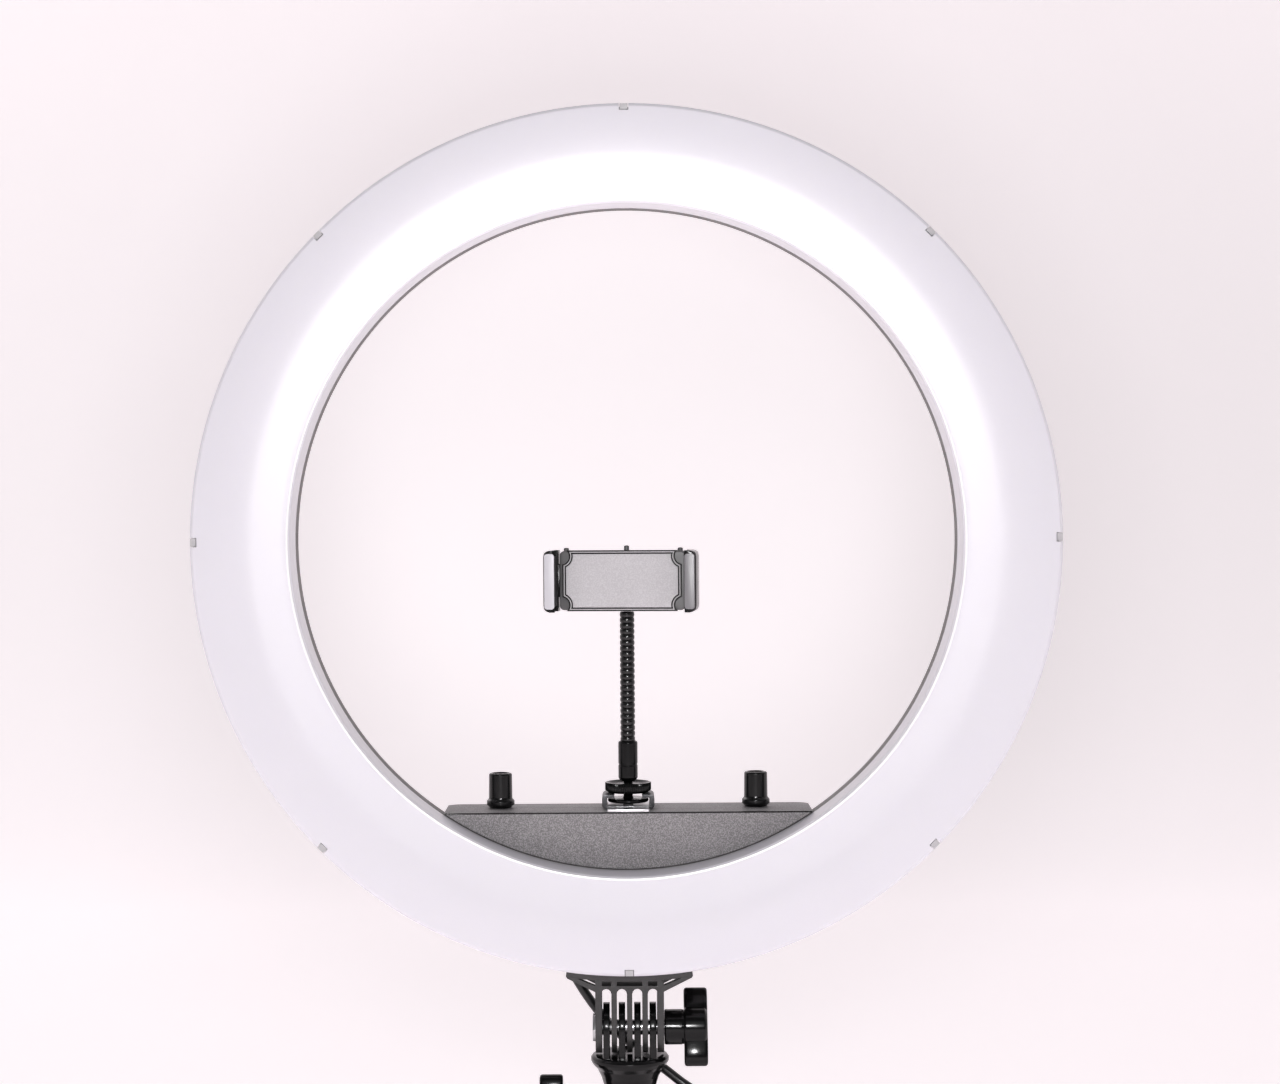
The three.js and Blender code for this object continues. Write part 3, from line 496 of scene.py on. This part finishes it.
def make_plug_body():
    """A moulded two-pin plug with a waist and a grip."""
    x, y = PLUG["x"], COIL["y"]
    sections = [(PLUG["foot"], 0.93), (PLUG["foot"] + 0.7, 1.0), (-80, 1.0), (-77, 0.93), (-73, 0.88),
                (-70, 0.80), (-68.9, 0.72), (-68.3, 0.62)]
    loops = []
    for z, scale in sections:
        outline = rounded_outline(-7.5 * scale, -5 * scale, 7.5 * scale, 5 * scale, 4.4 * scale, 8)
        loops.append([(x + a, y + b, z) for a, b in outline])
    body = loft("plug_moulding", loops, RUBBER)
    ridges = []
    for z in (-78.5, -76.3, -74.1):
        outline = rounded_outline(-7.1, -4.7, 7.1, 4.7, 4.2, 8)
        ridge = slab("ridge", [(x + a, y + b) for a, b in outline], z - 0.5, z + 0.5, RUBBER, 0.3, axis="Z")
        ridges.append(ridge)
    whole = joined("plug_moulding", [body, *ridges])
    return settle(whole, "stand", "rubber_black", "plug_body")


def make_plug_relief():
    """A tapered sleeve with ribs that lets the lead leave the plug without a kink."""
    profile = [(0, -68.2), (4.5, -68.2, 0.3), (4.45, -65, 0.3)]
    for i in range(6):
        z = -64 + i * 2.5
        wide = 4.4 - 0.2 * i
        profile += [(wide - 0.7, z - 0.4, 0.2), (wide - 0.7, z + 0.5, 0.2),
                    (wide, z + 0.8, 0.2), (wide - 0.05, z + 1.9, 0.2)]
    profile += [(3.05, -48.8, 0.3), (2.6, -48.35, 0.2), (0, -48.35)]
    relief = lathe("plug_sleeve", profile, RUBBER, 40, place=at(PLUG["x"], COIL["y"], 0))
    return settle(relief, "stand", "rubber_black", "plug_relief")


make_lead()


# ---------- ring ----------

RING_Z = 320
TURN_TO_Y = Matrix.Rotation(-math.pi / 2, 4, "X")


def ring_place():
    """Puts a profile of (radius, depth) round the ring's axis, depth growing away from the viewer."""
    return at(0, 0, RING_Z) @ TURN_TO_Y


def face_depth(radius):
    """How deep the milky face lies: a conical inner slope, a flat crown and a falling outer side."""
    slope, inner, crown, front = 0.088, 192.0, 200.0, -21.9
    if radius < crown:
        blend_in = min(1.0, (crown - radius) / (crown - inner))
        return front + slope * ((crown - radius) * blend_in / 2 if radius > inner
                                else (crown - inner) / 2 + inner - radius)
    return front + 0.0033 * (radius - crown) ** 2


def clip_box(name, half, low, high, front, back, index):
    tool = box_mesh(name, (-half, front, low), (half, back, high), MILKY, 0.05)
    turn = Matrix.Rotation(index * math.pi / 4, 4, "Y")
    tool.data.transform(at(0, 0, RING_Z) @ turn)
    return tool


def make_diffuser():
    face = [(radius, face_depth(radius)) for radius in range(222, 176, -1)]
    profile = [
        (223.0, -6), (225.0, -6, 0.3), (225.0, -18.4, 1.4), (223.3, -20.1, 1.0), *face,
        (174.9, -20.15, 0.7), (173.6, -18.6, 0.6), (172.6, -2.0, 0.2), (174.8, -2.0), (175.6, -17.2, 0.5),
        (181, -18.2), (200, -19.6), (221, -18.0), (223.0, -16.4, 0.5),
    ]
    body = lathe("diffuser_face", profile, MILKY, 320, closed=True, place=ring_place(), steps=5)
    notches = [clip_box("notch", 2.4, 221.2, 227, -24, -5.7, i) for i in range(8)]
    carved(body, notches)
    settle(body, "head", "diffuser_acrylic", "diffuser")
    # The bead is the diffuser's own acrylic, made whiter here as a painted highlight on its rounded edge.
    bead = [(174.2, -18.9), (174.2, -20.6, 0.4), (175.4, -20.85, 0.4), (175.4, -19.6)]
    lip = lathe("ring_lip", bead, LIP_PAINTED_HIGHLIGHT, 320, closed=True, place=ring_place(), steps=4)
    settle(lip, "head", "diffuser_acrylic")


def make_rear_shell():
    """The dish behind the face, with a raised rib, a seam step, and dark slabs on its back as the painted
    shade of the cooling slots of such a back.
    """
    profile = [
        (225.0, -5.7, 0.3), (225.0, 8.6, 2.2), (221.4, 12.0, 2.2), (205, 12.0, 0.3), (204, 11.4, 0.3),
        (199, 11.4, 0.3), (198, 12.0, 0.3), (176.4, 12.0, 2.0), (172.5, 8.8, 2.0), (172.5, -1.7, 0.2),
        (174.7, -1.7), (174.7, 9.8), (222.4, 9.8), (222.4, -2), (221.2, -3), (221.2, -9), (222.6, -9),
        (222.6, -5.7),
    ]
    body = lathe("shell_dish", profile, SHELL, 320, closed=True, place=ring_place(), steps=5)
    outlet = box_mesh("outlet", (-58, 11, 119.8), (-40, 22.5, 134), SHELL, 1.2)
    body = joined("shell_dish", [body, outlet])
    settle(body, "head", "shell_plastic", "rear_shell")
    fingers = [clip_box("finger", 2.1, 221.8, 224.8, -18.8, -3, i) for i in range(8)]
    clips = joined("ring_clips", fingers)
    clips.data.materials[0] = MID_GREY
    settle(clips, "head", "shell_plastic")
    # The cooling slots are not cut: thin dark slabs stand on the back as their painted shade.
    made = []
    for degrees in range(60, 301, 15):
        for k in (-1, 0, 1):
            angle = math.radians(degrees + 2.2 * k)
            slot = slab("vent", rounded_outline(-1.1, 181, 1.1, 194, 1.05, 4), 11.9, 12.35, GLOSS, 0.15)
            slot.data.transform(at(0, 0, RING_Z) @ Matrix.Rotation(angle, 4, "Y"))
            made.append(slot)
    settle(joined("shell_vent_shades", made), "head", "shell_plastic")


make_diffuser()
make_rear_shell()
finish_node("led_board", BOARD_WHITE, 0.15)


# ---------- control box ----------

DIAL_X = 67.7
BOX_TOP = 177.5
DEPTH_Y = 20


def make_dial(side, x):
    base = BOX_TOP + 0.3
    place = at(x, DEPTH_Y, base)
    profile = [
        (3.1, 0), (5.9, 0, 0.3), (6.3, 0.7, 0.4), (7.4, 1.5, 0.6), (7.4, 3.6, 0.9), (6.35, 4.7, 0.5),
        (6.25, 5.4, 0.3), (6.12, 17.4, 0.5), (5.7, 18.1, 0.4), (4.6, 18.25, 0.3), (4.1, 17.5, 0.3),
        (0, 17.2),
    ]
    body = lathe(f"dial_body_{side}", profile, DIAL_BLACK, 72, place=place, steps=5)
    settle(body, f"dial_{side}", "gloss_black", f"dial_{side}")
    dish = [(0, 17.1), (3.95, 17.3, 0.2), (3.9, 17.65, 0.2), (2.4, 17.45, 1), (0, 17.35)]
    cap = lathe(f"dial_cap_{side}", dish, CAP_BROWN, 48, place=place)
    settle(cap, f"dial_{side}", "gloss_black")
    line = rounded_outline(-0.35, 8.2, 0.35, 16.2, 0.33, 4)
    mark = slab(f"dial_mark_{side}", line, -6.26, -5.8, BOARD_WHITE, 0.1)
    lean = Matrix.Rotation(math.radians(-1.6), 4, "X")
    mark.data.transform(place @ Matrix.Rotation(math.radians(180), 4, "Z") @ lean)
    settle(mark, f"dial_{side}", "board_white")


def make_seam_shade_line():
    """A dark strip along the top of the box's front panel: the seam there, with the shade in its gap painted
    in.
    """
    low, high = (-95.8, -2.12, BOX_TOP - 0.75), (95.8, -1.4, BOX_TOP + 0.12)
    settle(box_mesh("box_seam_shade_line", low, high, DIAL_BLACK, 0.06), "head", "gloss_black")


for side, x in (("left", -DIAL_X), ("right", DIAL_X)):
    make_dial(side, x)
    finish_node(f"pot_{side}", STEEL, 0.3)
    finish_node(f"pot_shaft_{side}", STEEL, 0.2)
    finish_node(f"box_screw_{side}", STEEL, 0.3)
    finish_node(f"mount_screw_{side}", STEEL, 0.3)
finish_node("box_front", PANEL, 0.3)
finish_node("box_rear", PANEL, 1.0, segments=3)
make_seam_shade_line()
finish_node("driver_board", BOARD_GREEN, 0.15)


# ---------- shoe and gooseneck ----------

FOOT_BASE = 180.4
NECK_FROM, NECK_TO, NECK_RIBS = 206.0, 281.2, 25
NECK_JOINTS = [222.0, 237.0, 252.0, 267.0]
NECK_SEAMS = [8, 13, 18]
BALL_Z, BALL_RADIUS, STUD_RADIUS = 296, 6, 2.4


def make_foot():
    profile = [(0, 0), (10.2, 0, 0.5), (10.8, 0.6, 0.3), (10.8, 1.5, 0.3), (10.3, 2.0, 0.3), (2.9, 2.0, 0.3)]
    for i in range(20):
        z = 2.7 + 0.75 * i
        profile += [(2.65, z), (2.3, z + 0.375)]
    profile += [(2.3, 17.8), (0, 17.8)]
    foot = lathe("shoe_stud", profile, GLOSS, 72, place=at(0, DEPTH_Y, FOOT_BASE), steps=3, smooth_angle=50)
    settle(foot, "shoe_slider", "gloss_black", "shoe_foot")


def make_thumb_nut():
    def knurl(radius, height, angle):
        return 0.16 * math.cos(72 * angle) - 0.16 if radius > 11.95 else 0

    profile = [
        (3.0, 0), (10.6, 0, 0.3), (12.05, 1.2, 0.4), (12.2, 1.5), (12.2, 5.0), (12.05, 5.3, 0.2),
        (11.3, 5.4, 0.2), (9.6, 4.4, 0.5), (3.0, 4.1), (3.0, 0),
    ]
    nut = lathe("thumb_wheel", profile, GLOSS, 288, place=at(0, DEPTH_Y, 185.5), wobble=knurl)
    settle(nut, "thumb_nut", "gloss_black", "thumb_nut")


def make_sleeve():
    profile = [
        (2.95, 191.2), (3.5, 191.2, 0.2), (4.3, 191.9, 0.4), (5.15, 193.2, 0.5), (5.15, 199.4, 0.3),
        (4.95, 199.9, 0.2), (4.95, 200.5, 0.2), (5.15, 201, 0.3), (5.15, 211.6, 0.4), (4.8, 212.5, 0.3),
        (4.25, 212.5), (4.25, 205.7), (2.95, 205.7),
    ]
    sleeve = lathe("neck_collar", profile, GLOSS, 64, closed=True, place=at(0, DEPTH_Y, 0))
    settle(sleeve, "shoe_slider", "gloss_black", "neck_sleeve")


def neck_profile(first, last):
    pitch = (NECK_TO - NECK_FROM) / NECK_RIBS
    points = []
    for rib in range(first, last):
        for step in range(8):
            angle = math.pi * step / 8
            z = NECK_FROM + pitch * (rib + (1 - math.cos(angle)) / 2)
            points.append((3.3 + 0.65 * math.sin(angle) ** 0.8, z))
    points.append((3.3, NECK_FROM + pitch * last))
    return [(0, points[0][1]), *points, (0, points[-1][1])]


def make_neck():
    """The ribbed tube, turned straight in four lengths, one for each of the neck's joints."""
    cuts = [0, *NECK_SEAMS, NECK_RIBS]
    stands_for = [["neck_0", "neck_1"], ["neck_2"], ["neck_3"], ["neck_4"]]
    for i, joint in enumerate(NECK_JOINTS):
        tube_part = lathe(f"gooseneck_{i + 1}", neck_profile(cuts[i], cuts[i + 1]), NECK_BLACK, 40,
                          place=at(0, DEPTH_Y, 0), smooth_angle=70)
        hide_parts(*stands_for[i])
        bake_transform(tube_part)


def make_neck_top():
    ferrule = [
        (0, 281.5), (4.0, 281.5, 0.2), (4.3, 281.9, 0.3), (4.3, 284.0, 0.4), (3.8, 284.9, 0.3), (2.7, 284.9),
        (2.7, 282.5), (0, 282.5),
    ]
    cap = lathe("neck_cap", ferrule, GLOSS, 56, place=at(0, DEPTH_Y, 0))
    settle(cap, "neck_4", "gloss_black", "neck_ferrule")
    start = math.atan2(-math.sqrt(BALL_RADIUS ** 2 - STUD_RADIUS ** 2), STUD_RADIUS)
    arc = []
    for i in range(25):
        angle = start + (math.pi / 2 - start) * i / 24
        arc.append((BALL_RADIUS * math.cos(angle), BALL_RADIUS * math.sin(angle)))
    stud = [(0, -13.2), (STUD_RADIUS, -13.2, 0.2), *arc]
    settle(lathe("ball", stud, STEEL, 48, place=at(0, DEPTH_Y, BALL_Z)), "ball_stud", "steel", "ball_stud")


def make_shoe_plates():
    """The bright plates under the shoe's slot, with a dark disc on the front one as the painted shade of its
    punched dimple.
    """
    inside = rounded_outline(-11.1, 8.7, 11.1, 29.8, 0.4, 3)
    plate = slab("shoe_plate", inside, 179.03, 179.2, BRIGHT, 0.05, axis="Z")
    settle(plate, "head", "grey_sheet")
    before = rounded_outline(-10.9, -1.6, 10.9, 8.3, 0.4, 3)
    apron = slab("shoe_apron", before, BOX_TOP + 0.1, 178.95, BRIGHT, 0.1, axis="Z")
    settle(apron, "head", "grey_sheet")
    # A flat dark disc, painted shade, where the front plate's dimple is.
    disc = [(0, 178.9), (2.6, 178.9), (2.6, 179.02), (0, 179.02)]
    settle(lathe("shoe_dimple_shade", disc, DIAL_BLACK, 40, place=at(0, 2.6, 0)), "head", "gloss_black")


make_foot()
make_thumb_nut()
make_sleeve()
make_neck()
make_neck_top()
finish_node("cold_shoe", SHEET, 0.35, segments=3)
finish_node("shoe_screw_1", DARK, 0.2)
make_shoe_plates()
finish_node("shoe_screw_2", STEEL, 0.2)


# ---------- phone holder ----------

HOLDER_PLACE = at(0, DEPTH_Y, BALL_Z) @ Matrix.Rotation(math.radians(-6), 4, "Z")
LIFT = 2.4


def plate_outline(grow):
    """The pad's outline grown by so much: a rectangle with a round bite out of each corner."""
    half, tall, notch_x, notch_z, radius = 29.35 + grow, 13.95 + grow, 31.95, 12.75, 6.2 - grow
    points = []
    for side_x, side_z in ((1, -1), (1, 1), (-1, 1), (-1, -1)):
        side = notch_z - math.sqrt(radius ** 2 - (half - notch_x) ** 2)
        across = notch_x - math.sqrt(max(0, radius ** 2 - (tall - notch_z) ** 2))
        first = math.atan2(tall - notch_z, across - notch_x) % (2 * math.pi)
        last = math.atan2(side - notch_z, half - notch_x) % (2 * math.pi)
        arc = []
        for step in range(13):
            angle = first + (last - first) * step / 12
            arc.append((side_x * (notch_x + radius * math.cos(angle)),
                        LIFT + side_z * (notch_z + radius * math.sin(angle))))
        if side_x * side_z > 0:
            arc.reverse()
        points += arc
    return points


def outline_loops(levels):
    return [[(x, y, z) for x, z in plate_outline(grow)] for grow, y in levels]


def make_holder_plate():
    """The pad, and round it a rim painted light grey as the highlight along its rounded ridge, between two
    dark lines.
    """
    for name, inner, outer in (("inner_line", 0.04, 0.68), ("outer_line", 1.28, 1.95)):
        bead = outline_loops([(inner, -22.3), (inner, -24.1), (outer, -24.1), (outer, -22.3)])
        line = loft(f"plate_{name}", bead, DIAL_BLACK, ring=True)
        line.data.transform(HOLDER_PLACE)
        settle(line, "holder", "gloss_black")
    rim = outline_loops([
        (0.7, -22.4), (0.7, -24.1), (0.78, -24.25), (0.88, -24.3),
        (1.08, -24.3), (1.18, -24.25), (1.26, -24.1), (1.26, -22.4),
    ])
    # The rim belongs to the dark frame; its mid grey is a painted highlight.
    edge = loft("plate_rim_painted_highlight", rim, MID_GREY, ring=True)
    edge.data.transform(HOLDER_PLACE)
    settle(edge, "holder", "dark_plastic", "holder_frame")
    pad = outline_loops([
        (0, -23.4), (0, -24.2), (-0.12, -24.42), (-0.4, -24.5), (-1.0, -24.5), (-2.0, -24.5),
    ])
    face = loft("plate_pad", pad, PAD)
    face.data.transform(HOLDER_PLACE)
    settle(face, "holder", "pad_grey", "holder_pad")


def make_jaw(side, sign):
    """A clamping jaw: a curved wall with a bead down its front and a lip that grips the phone."""
    plan = [
        (33.8, -13.2, 0.2), (39.6, -13.0, 0.8), (40.1, -26, 4), (39.8, -35.6, 1.5), (38.6, -37.9, 0.9),
        (34.9, -38.0 if sign > 0 else -37.55, 0.5), (33.6, -37.0, 0.5), (33.9, -35.2, 0.5),
        (35.0, -34.4, 0.5), (35.0, -22.0, 0.2), (33.8, -22.0, 0.2),
    ]
    outline = fillet(plan, True, 4)
    half = 16.0
    levels = [(-half, 0.0), (-half + 0.25, 0.35), (-half + 0.8, 0.7), (-half + 1.6, 0.9), (-half + 3.4, 1.0)]
    levels += [(-z, grow) for z, grow in levels[::-1]]
    loops = []
    for z, full in levels:
        inset = (1 - full) * 3.2
        loop = []
        for x, y in outline:
            outward = max(0.0, (x - 35.4) / 4.7)
            loop.append((sign * (x - inset * outward), y + inset * 0.12 * outward, LIFT + z))
        loops.append(loop)
    wall = loft(f"jaw_wall_{side}", loops, GLOSS, smooth_angle=40)
    ends = sorted((sign * 12, sign * 36))
    tongue = box_mesh("tongue", (ends[0], -19.7, LIFT - 8.7), (ends[1], -14.3, LIFT + 8.7), GLOSS, 0.5)
    whole = joined(f"jaw_wall_{side}", [wall, tongue])
    whole.data.transform(HOLDER_PLACE)
    settle(whole, f"jaw_{side}", "dark_plastic", f"jaw_{side}")
    ends = sorted((sign * 33.8, sign * 39.0))
    bead = rounded_outline(ends[0], LIFT - 14.4, ends[1], LIFT + 14.4, 1.6, 6)
    # The left jaw's face gets the painted light grey and the right jaw's face the painted shade grey.
    face = slab(f"jaw_face_{side}", bead, -38.0, -37.2, JAW_PAINTED_LIT if sign < 0 else JAW_PAINTED_SHADE, 0.25)
    face.data.transform(HOLDER_PLACE)
    settle(face, f"jaw_{side}", "dark_plastic")


def make_holder_base():
    """The holder's body: a shell with tunnels for the jaws, an arm and the cup over the ball."""
    low, high = LIFT - 15.5, LIFT + 15.5
    body = slab("holder_body", rounded_outline(-33, low, 33, high, 2.4, 6), -22, -12, HOLDER_GREY, 0.7)
    arm = slab("arm", rounded_outline(-7, -2.5, 7, 7.5, 1.5, 4), -13, -7.2, DARK, 0.2)
    bowl = [(0, -3), (8.5, -3, 0.3), (9, -2.5, 0.3), (9, 7.8, 1.0), (7.8, 9.0, 0.6), (0, 9.2)]
    cup = lathe("cup", bowl, DARK)
    post = lathe("post", [(0, 8), (1.4, 8), (1.4, 20.1, 0.4), (0, 20.4)], DARK, 24)
    lugs = []
    for x in (-30, 30):
        pin = [(0, 12), (1.4, 12), (1.4, 19.3, 0.4), (0, 19.6)]
        lugs.append(lathe("lug", pin, DARK, 24, place=at(x, -17, 0)))
    carved(body, [arm, cup, post, *lugs], "UNION")
    tunnels = []
    for sign in (-1, 1):
        ends = sorted((sign * 8, sign * 35))
        tunnels.append(box_mesh("tunnel", (ends[0], -20, LIFT - 9), (ends[1], -14, LIFT + 9), DARK, 0.1))
    room = BALL_RADIUS + 0.3
    arc = []
    for i in range(25):
        angle = math.pi * (i / 24 - 0.5)
        arc.append((room * math.cos(angle), room * math.sin(angle)))
    tunnels.append(lathe("cavity", arc, DARK, 40))
    carved(body, tunnels)
    body.data.transform(HOLDER_PLACE)
    settle(body, "holder", "dark_plastic", "holder_base")


make_holder_plate()
make_jaw("left", -1)
make_jaw("right", 1)
finish_node("jaw_pad_left", RUBBER, 0.2)
finish_node("jaw_pad_right", RUBBER, 0.2)
make_holder_base()
finish_node("ball_nut", GLOSS, 0.4)


# ---------- tilt head and stand socket ----------

PIVOT_Z, LOCK_Z = 65, 20
FIN_PITCH, FIN_HALF = 8.05, 1.7
KNOB_BORE = 4.3
TURN_TO_X = Matrix.Rotation(math.pi / 2, 4, "Y")


def make_knob(name, start, neck, bar_angle, flip, body):
    """A round hub with a wing bar across its outer end, along +X."""
    profile = [
        (KNOB_BORE, 0.0), (8.6, 0, 0.4), (9.15, 0.6, 0.4), (9.15, neck - 1.2, 0.5), (8.8, neck, 0.3),
        (10.1, neck + 0.2, 0.3), (10.5, neck + 0.9, 0.5), (10.5, neck + 10.8, 1.0),
        (9.2, neck + 11.9, 0.8), (KNOB_BORE, neck + 11.7), (KNOB_BORE, 0.0),
    ]
    hub = lathe("hub", profile, GLOSS)
    hub.data.transform(TURN_TO_X)
    outline = []
    for t in range(64):
        angle = 2 * math.pi * t / 64
        c, s = math.cos(angle), math.sin(angle)
        outline.append((5.5 * math.copysign(abs(c) ** 0.75, c), 20.5 * math.copysign(abs(s) ** 0.62, s)))
    bar = slab("bar", outline, neck, neck + 12.3, GLOSS, 1.5, axis="X")
    bar.data.transform(Matrix.Rotation(math.radians(bar_angle), 4, "X"))
    recess = [(0, neck - 1), (KNOB_BORE, neck - 1), (KNOB_BORE, neck + 2), (0, neck + 2)]
    hole = lathe("hole", recess, GLOSS, 48)
    hole.data.transform(TURN_TO_X)
    carved(bar, [hole])
    knob = joined(name, [hub, bar])
    if flip:
        knob.data.transform(Matrix.Rotation(math.pi, 4, "Y"))
    knob.data.transform(at(*start))
    settle(knob, body, "gloss_black", body)


def fin_outline(radius=13.0, end=50.5, steps=28):
    """A fin's side view in (y, z): a half disc about the pivot that runs straight down to the socket."""
    points = []
    for i in range(steps + 1):
        angle = math.pi * i / steps
        points.append((radius * math.cos(angle), PIVOT_Z + radius * math.sin(angle)))
    points += [(points[-1][0], end), (points[0][0], end)]
    return points


def rod_x(name, radius, start, end, z):
    """A rod along X, to cut a hole with."""
    rod = lathe(name, [(0, start), (radius, start), (radius, end), (0, end)], GLOSS, 48)
    rod.data.transform(at(0, 0, z) @ TURN_TO_X)
    return rod


def make_socket():
    profile = [
        (8.2, 0, 0.4), (12.5, 0, 0.4), (13.35, 0.9, 0.4), (13.35, 34, 2), (13.9, 36, 2), (15.2, 40, 3),
        (17.2, 44, 3), (19.4, 46.4, 0.8), (20.4, 48.2, 0.6), (20.4, 49.8, 0.6), (19.4, 51, 0.5), (18, 51.3),
        (0, 51.3), (0, 34), (8.2, 34),
    ]
    body = lathe("socket_cup", profile, GLOSS, 96, closed=True, steps=5)
    fins = []
    for place in (-1.5, -0.5, 0.5, 1.5):
        x = place * FIN_PITCH
        fin = slab("fin", fin_outline(), x - FIN_HALF, x + FIN_HALF, GLOSS, 0.35, axis="X")
        fins.append(fin)
    carved(body, fins, "UNION")
    carved(body, [rod_x("bore", 4.3, -30, 30, PIVOT_Z), rod_x("seat", 5.8, -20, -6, LOCK_Z)])
    settle(body, "stand", "gloss_black", "stand_socket")


make_knob("tilt_wing", (18.1, 0, PIVOT_Z), 10.2, -25, False, "tilt_knob")
make_knob("lock_wing", (-22, 0, LOCK_Z), 13, 0, True, "lock_knob")
make_socket()
finish_node("tilt_bracket", DARK, 0.35)
finish_node("tilt_nut", STEEL, 0.3)
finish_node("tilt_bolt", STEEL, 0.4)
finish_node("bracket_screw_left", STEEL, 0.3)
finish_node("bracket_screw_right", STEEL, 0.3)
finish_node("lock_insert", BRASS, 0.2)
finish_node("lock_screw", STEEL, 0.4)
finish_node("cord_relief", RUBBER, 0.4)


# ---------- floor, wall and light ----------

def wall_painted_shading(tree):
    """Painted light and shade in the wall's glow: a painted pool of light in the middle, a soft painted
    shadow band round it, and pale beyond.
    """
    coords = tree.nodes.new("ShaderNodeTexCoord").outputs["Object"]
    offset = tree.nodes.new("ShaderNodeVectorMath")
    offset.operation = "MULTIPLY_ADD"
    offset.inputs[1].default_value = (1, 0.35, 1)
    offset.inputs[2].default_value = (0, -0.8575, -0.40)
    tree.links.new(coords, offset.inputs[0])
    length = tree.nodes.new("ShaderNodeVectorMath")
    length.operation = "LENGTH"
    tree.links.new(offset.outputs["Vector"], length.inputs[0])
    curve = tree.nodes.new("ShaderNodeValToRGB")
    curve.color_ramp.interpolation = "B_SPLINE"
    stops = [(0.0, 0.57), (0.16, 0.59), (0.22, 0.52), (0.29, 0.36), (0.33, 0.40), (0.43, 0.48), (1.0, 0.48)]
    elements = curve.color_ramp.elements
    while len(elements) < len(stops):
        elements.new(0.5)
    for element, (place, value) in zip(elements, stops):
        element.position = place
        element.color = (value, value, value, 1)
    tree.links.new(ramp(tree, length.outputs["Value"], 0, 2, 0, 1), curve.inputs["Fac"])
    return curve.outputs["Color"]


def plain_stage():
    """A pale floor that curves up into a pale wall, whose glow carries a painted pool of light and a painted
    shadow.
    """
    low = cad_low[2] - 0.0005
    wall, radius, top, reach = 2.7, 1.3, 6.0, 14
    profile = [(-reach, low)]
    for i in range(25):
        angle = math.pi / 2 * i / 24
        profile.append((wall - radius + radius * math.sin(angle), low + radius * (1 - math.cos(angle))))
    profile.append((wall, top))
    vertices = [(x, y, z) for y, z in profile for x in (-reach, reach)]
    faces = [[2 * i, 2 * i + 1, 2 * i + 3, 2 * i + 2] for i in range(len(profile) - 1)]
    mesh = bpy.data.meshes.new("sweep")
    mesh.from_pydata(vertices, [], faces)
    made = bpy.data.objects.new("sweep", mesh)
    scene.collection.objects.link(made)
    smooth(mesh, 60)
    finish = bpy.data.materials.new("pale_wall")
    finish.use_nodes = True
    tree = finish.node_tree
    shader = tree.nodes["Principled BSDF"]
    coords = tree.nodes.new("ShaderNodeTexCoord").outputs["Object"]
    tint = mixed(tree, noise(tree, coords, 3, 3), (0.86, 0.80, 0.82, 1), (0.90, 0.84, 0.86, 1))
    tree.links.new(tint, shader.inputs["Base Color"])
    shader.inputs["Roughness"].default_value = 0.9
    shader.inputs["Emission Color"].default_value = (1.0, 0.95, 0.972, 1)
    # The emission strength carries the painted pool of light and the painted shadow band.
    tree.links.new(wall_painted_shading(tree), shader.inputs["Emission Strength"])
    mesh.materials.append(finish)


def area_light(name, place, target, size, power, colour=(1, 1, 1)):
    data = bpy.data.lights.new(name, "AREA")
    data.shape = "DISK"
    data.size = size
    data.energy = power
    data.color = colour
    made = bpy.data.objects.new(name, data)
    made.location = place
    made.rotation_euler = (Vector(target) - Vector(place)).to_track_quat("-Z", "Y").to_euler()
    made.visible_camera = False
    scene.collection.objects.link(made)


def room_light():
    """A pale room, which lights the object more from beyond it than from behind the viewer."""
    world = bpy.data.worlds.new("room")
    scene.world = world
    world.use_nodes = True
    tree = world.node_tree
    background = tree.nodes["Background"]
    coords = tree.nodes.new("ShaderNodeTexCoord").outputs["Generated"]
    split = tree.nodes.new("ShaderNodeSeparateXYZ")
    tree.links.new(coords, split.inputs["Vector"])
    toward_wall = ramp(tree, split.outputs["Y"], -0.75, 0.15, 0.05, 0.5)
    seen = tree.nodes.new("ShaderNodeMix")
    seen.inputs["B"].default_value = 0.88
    tree.links.new(tree.nodes.new("ShaderNodeLightPath").outputs["Is Camera Ray"], seen.inputs["Factor"])
    tree.links.new(toward_wall, seen.inputs["A"])
    tree.links.new(seen.outputs["Result"], background.inputs["Strength"])
    background.inputs["Color"].default_value = (0.98, 0.95, 0.97, 1)


plain_stage()
room_light()
area_light("flash", (0.0, -1.34, 0.470), (0, 0, 0.32), 0.16, 8.2, (1.0, 0.985, 1.0))
area_light("fill", (0.0, -2.4, 1.3), (0, 0, 0.25), 1.6, 4.0, (0.98, 0.985, 1.0))
area_light("back_fill", (-1.6, 2.0, 1.8), (0, 0, 0.25), 1.2, 8.0)
scene.view_settings.view_transform = "Standard"
scene.view_settings.look = "None"
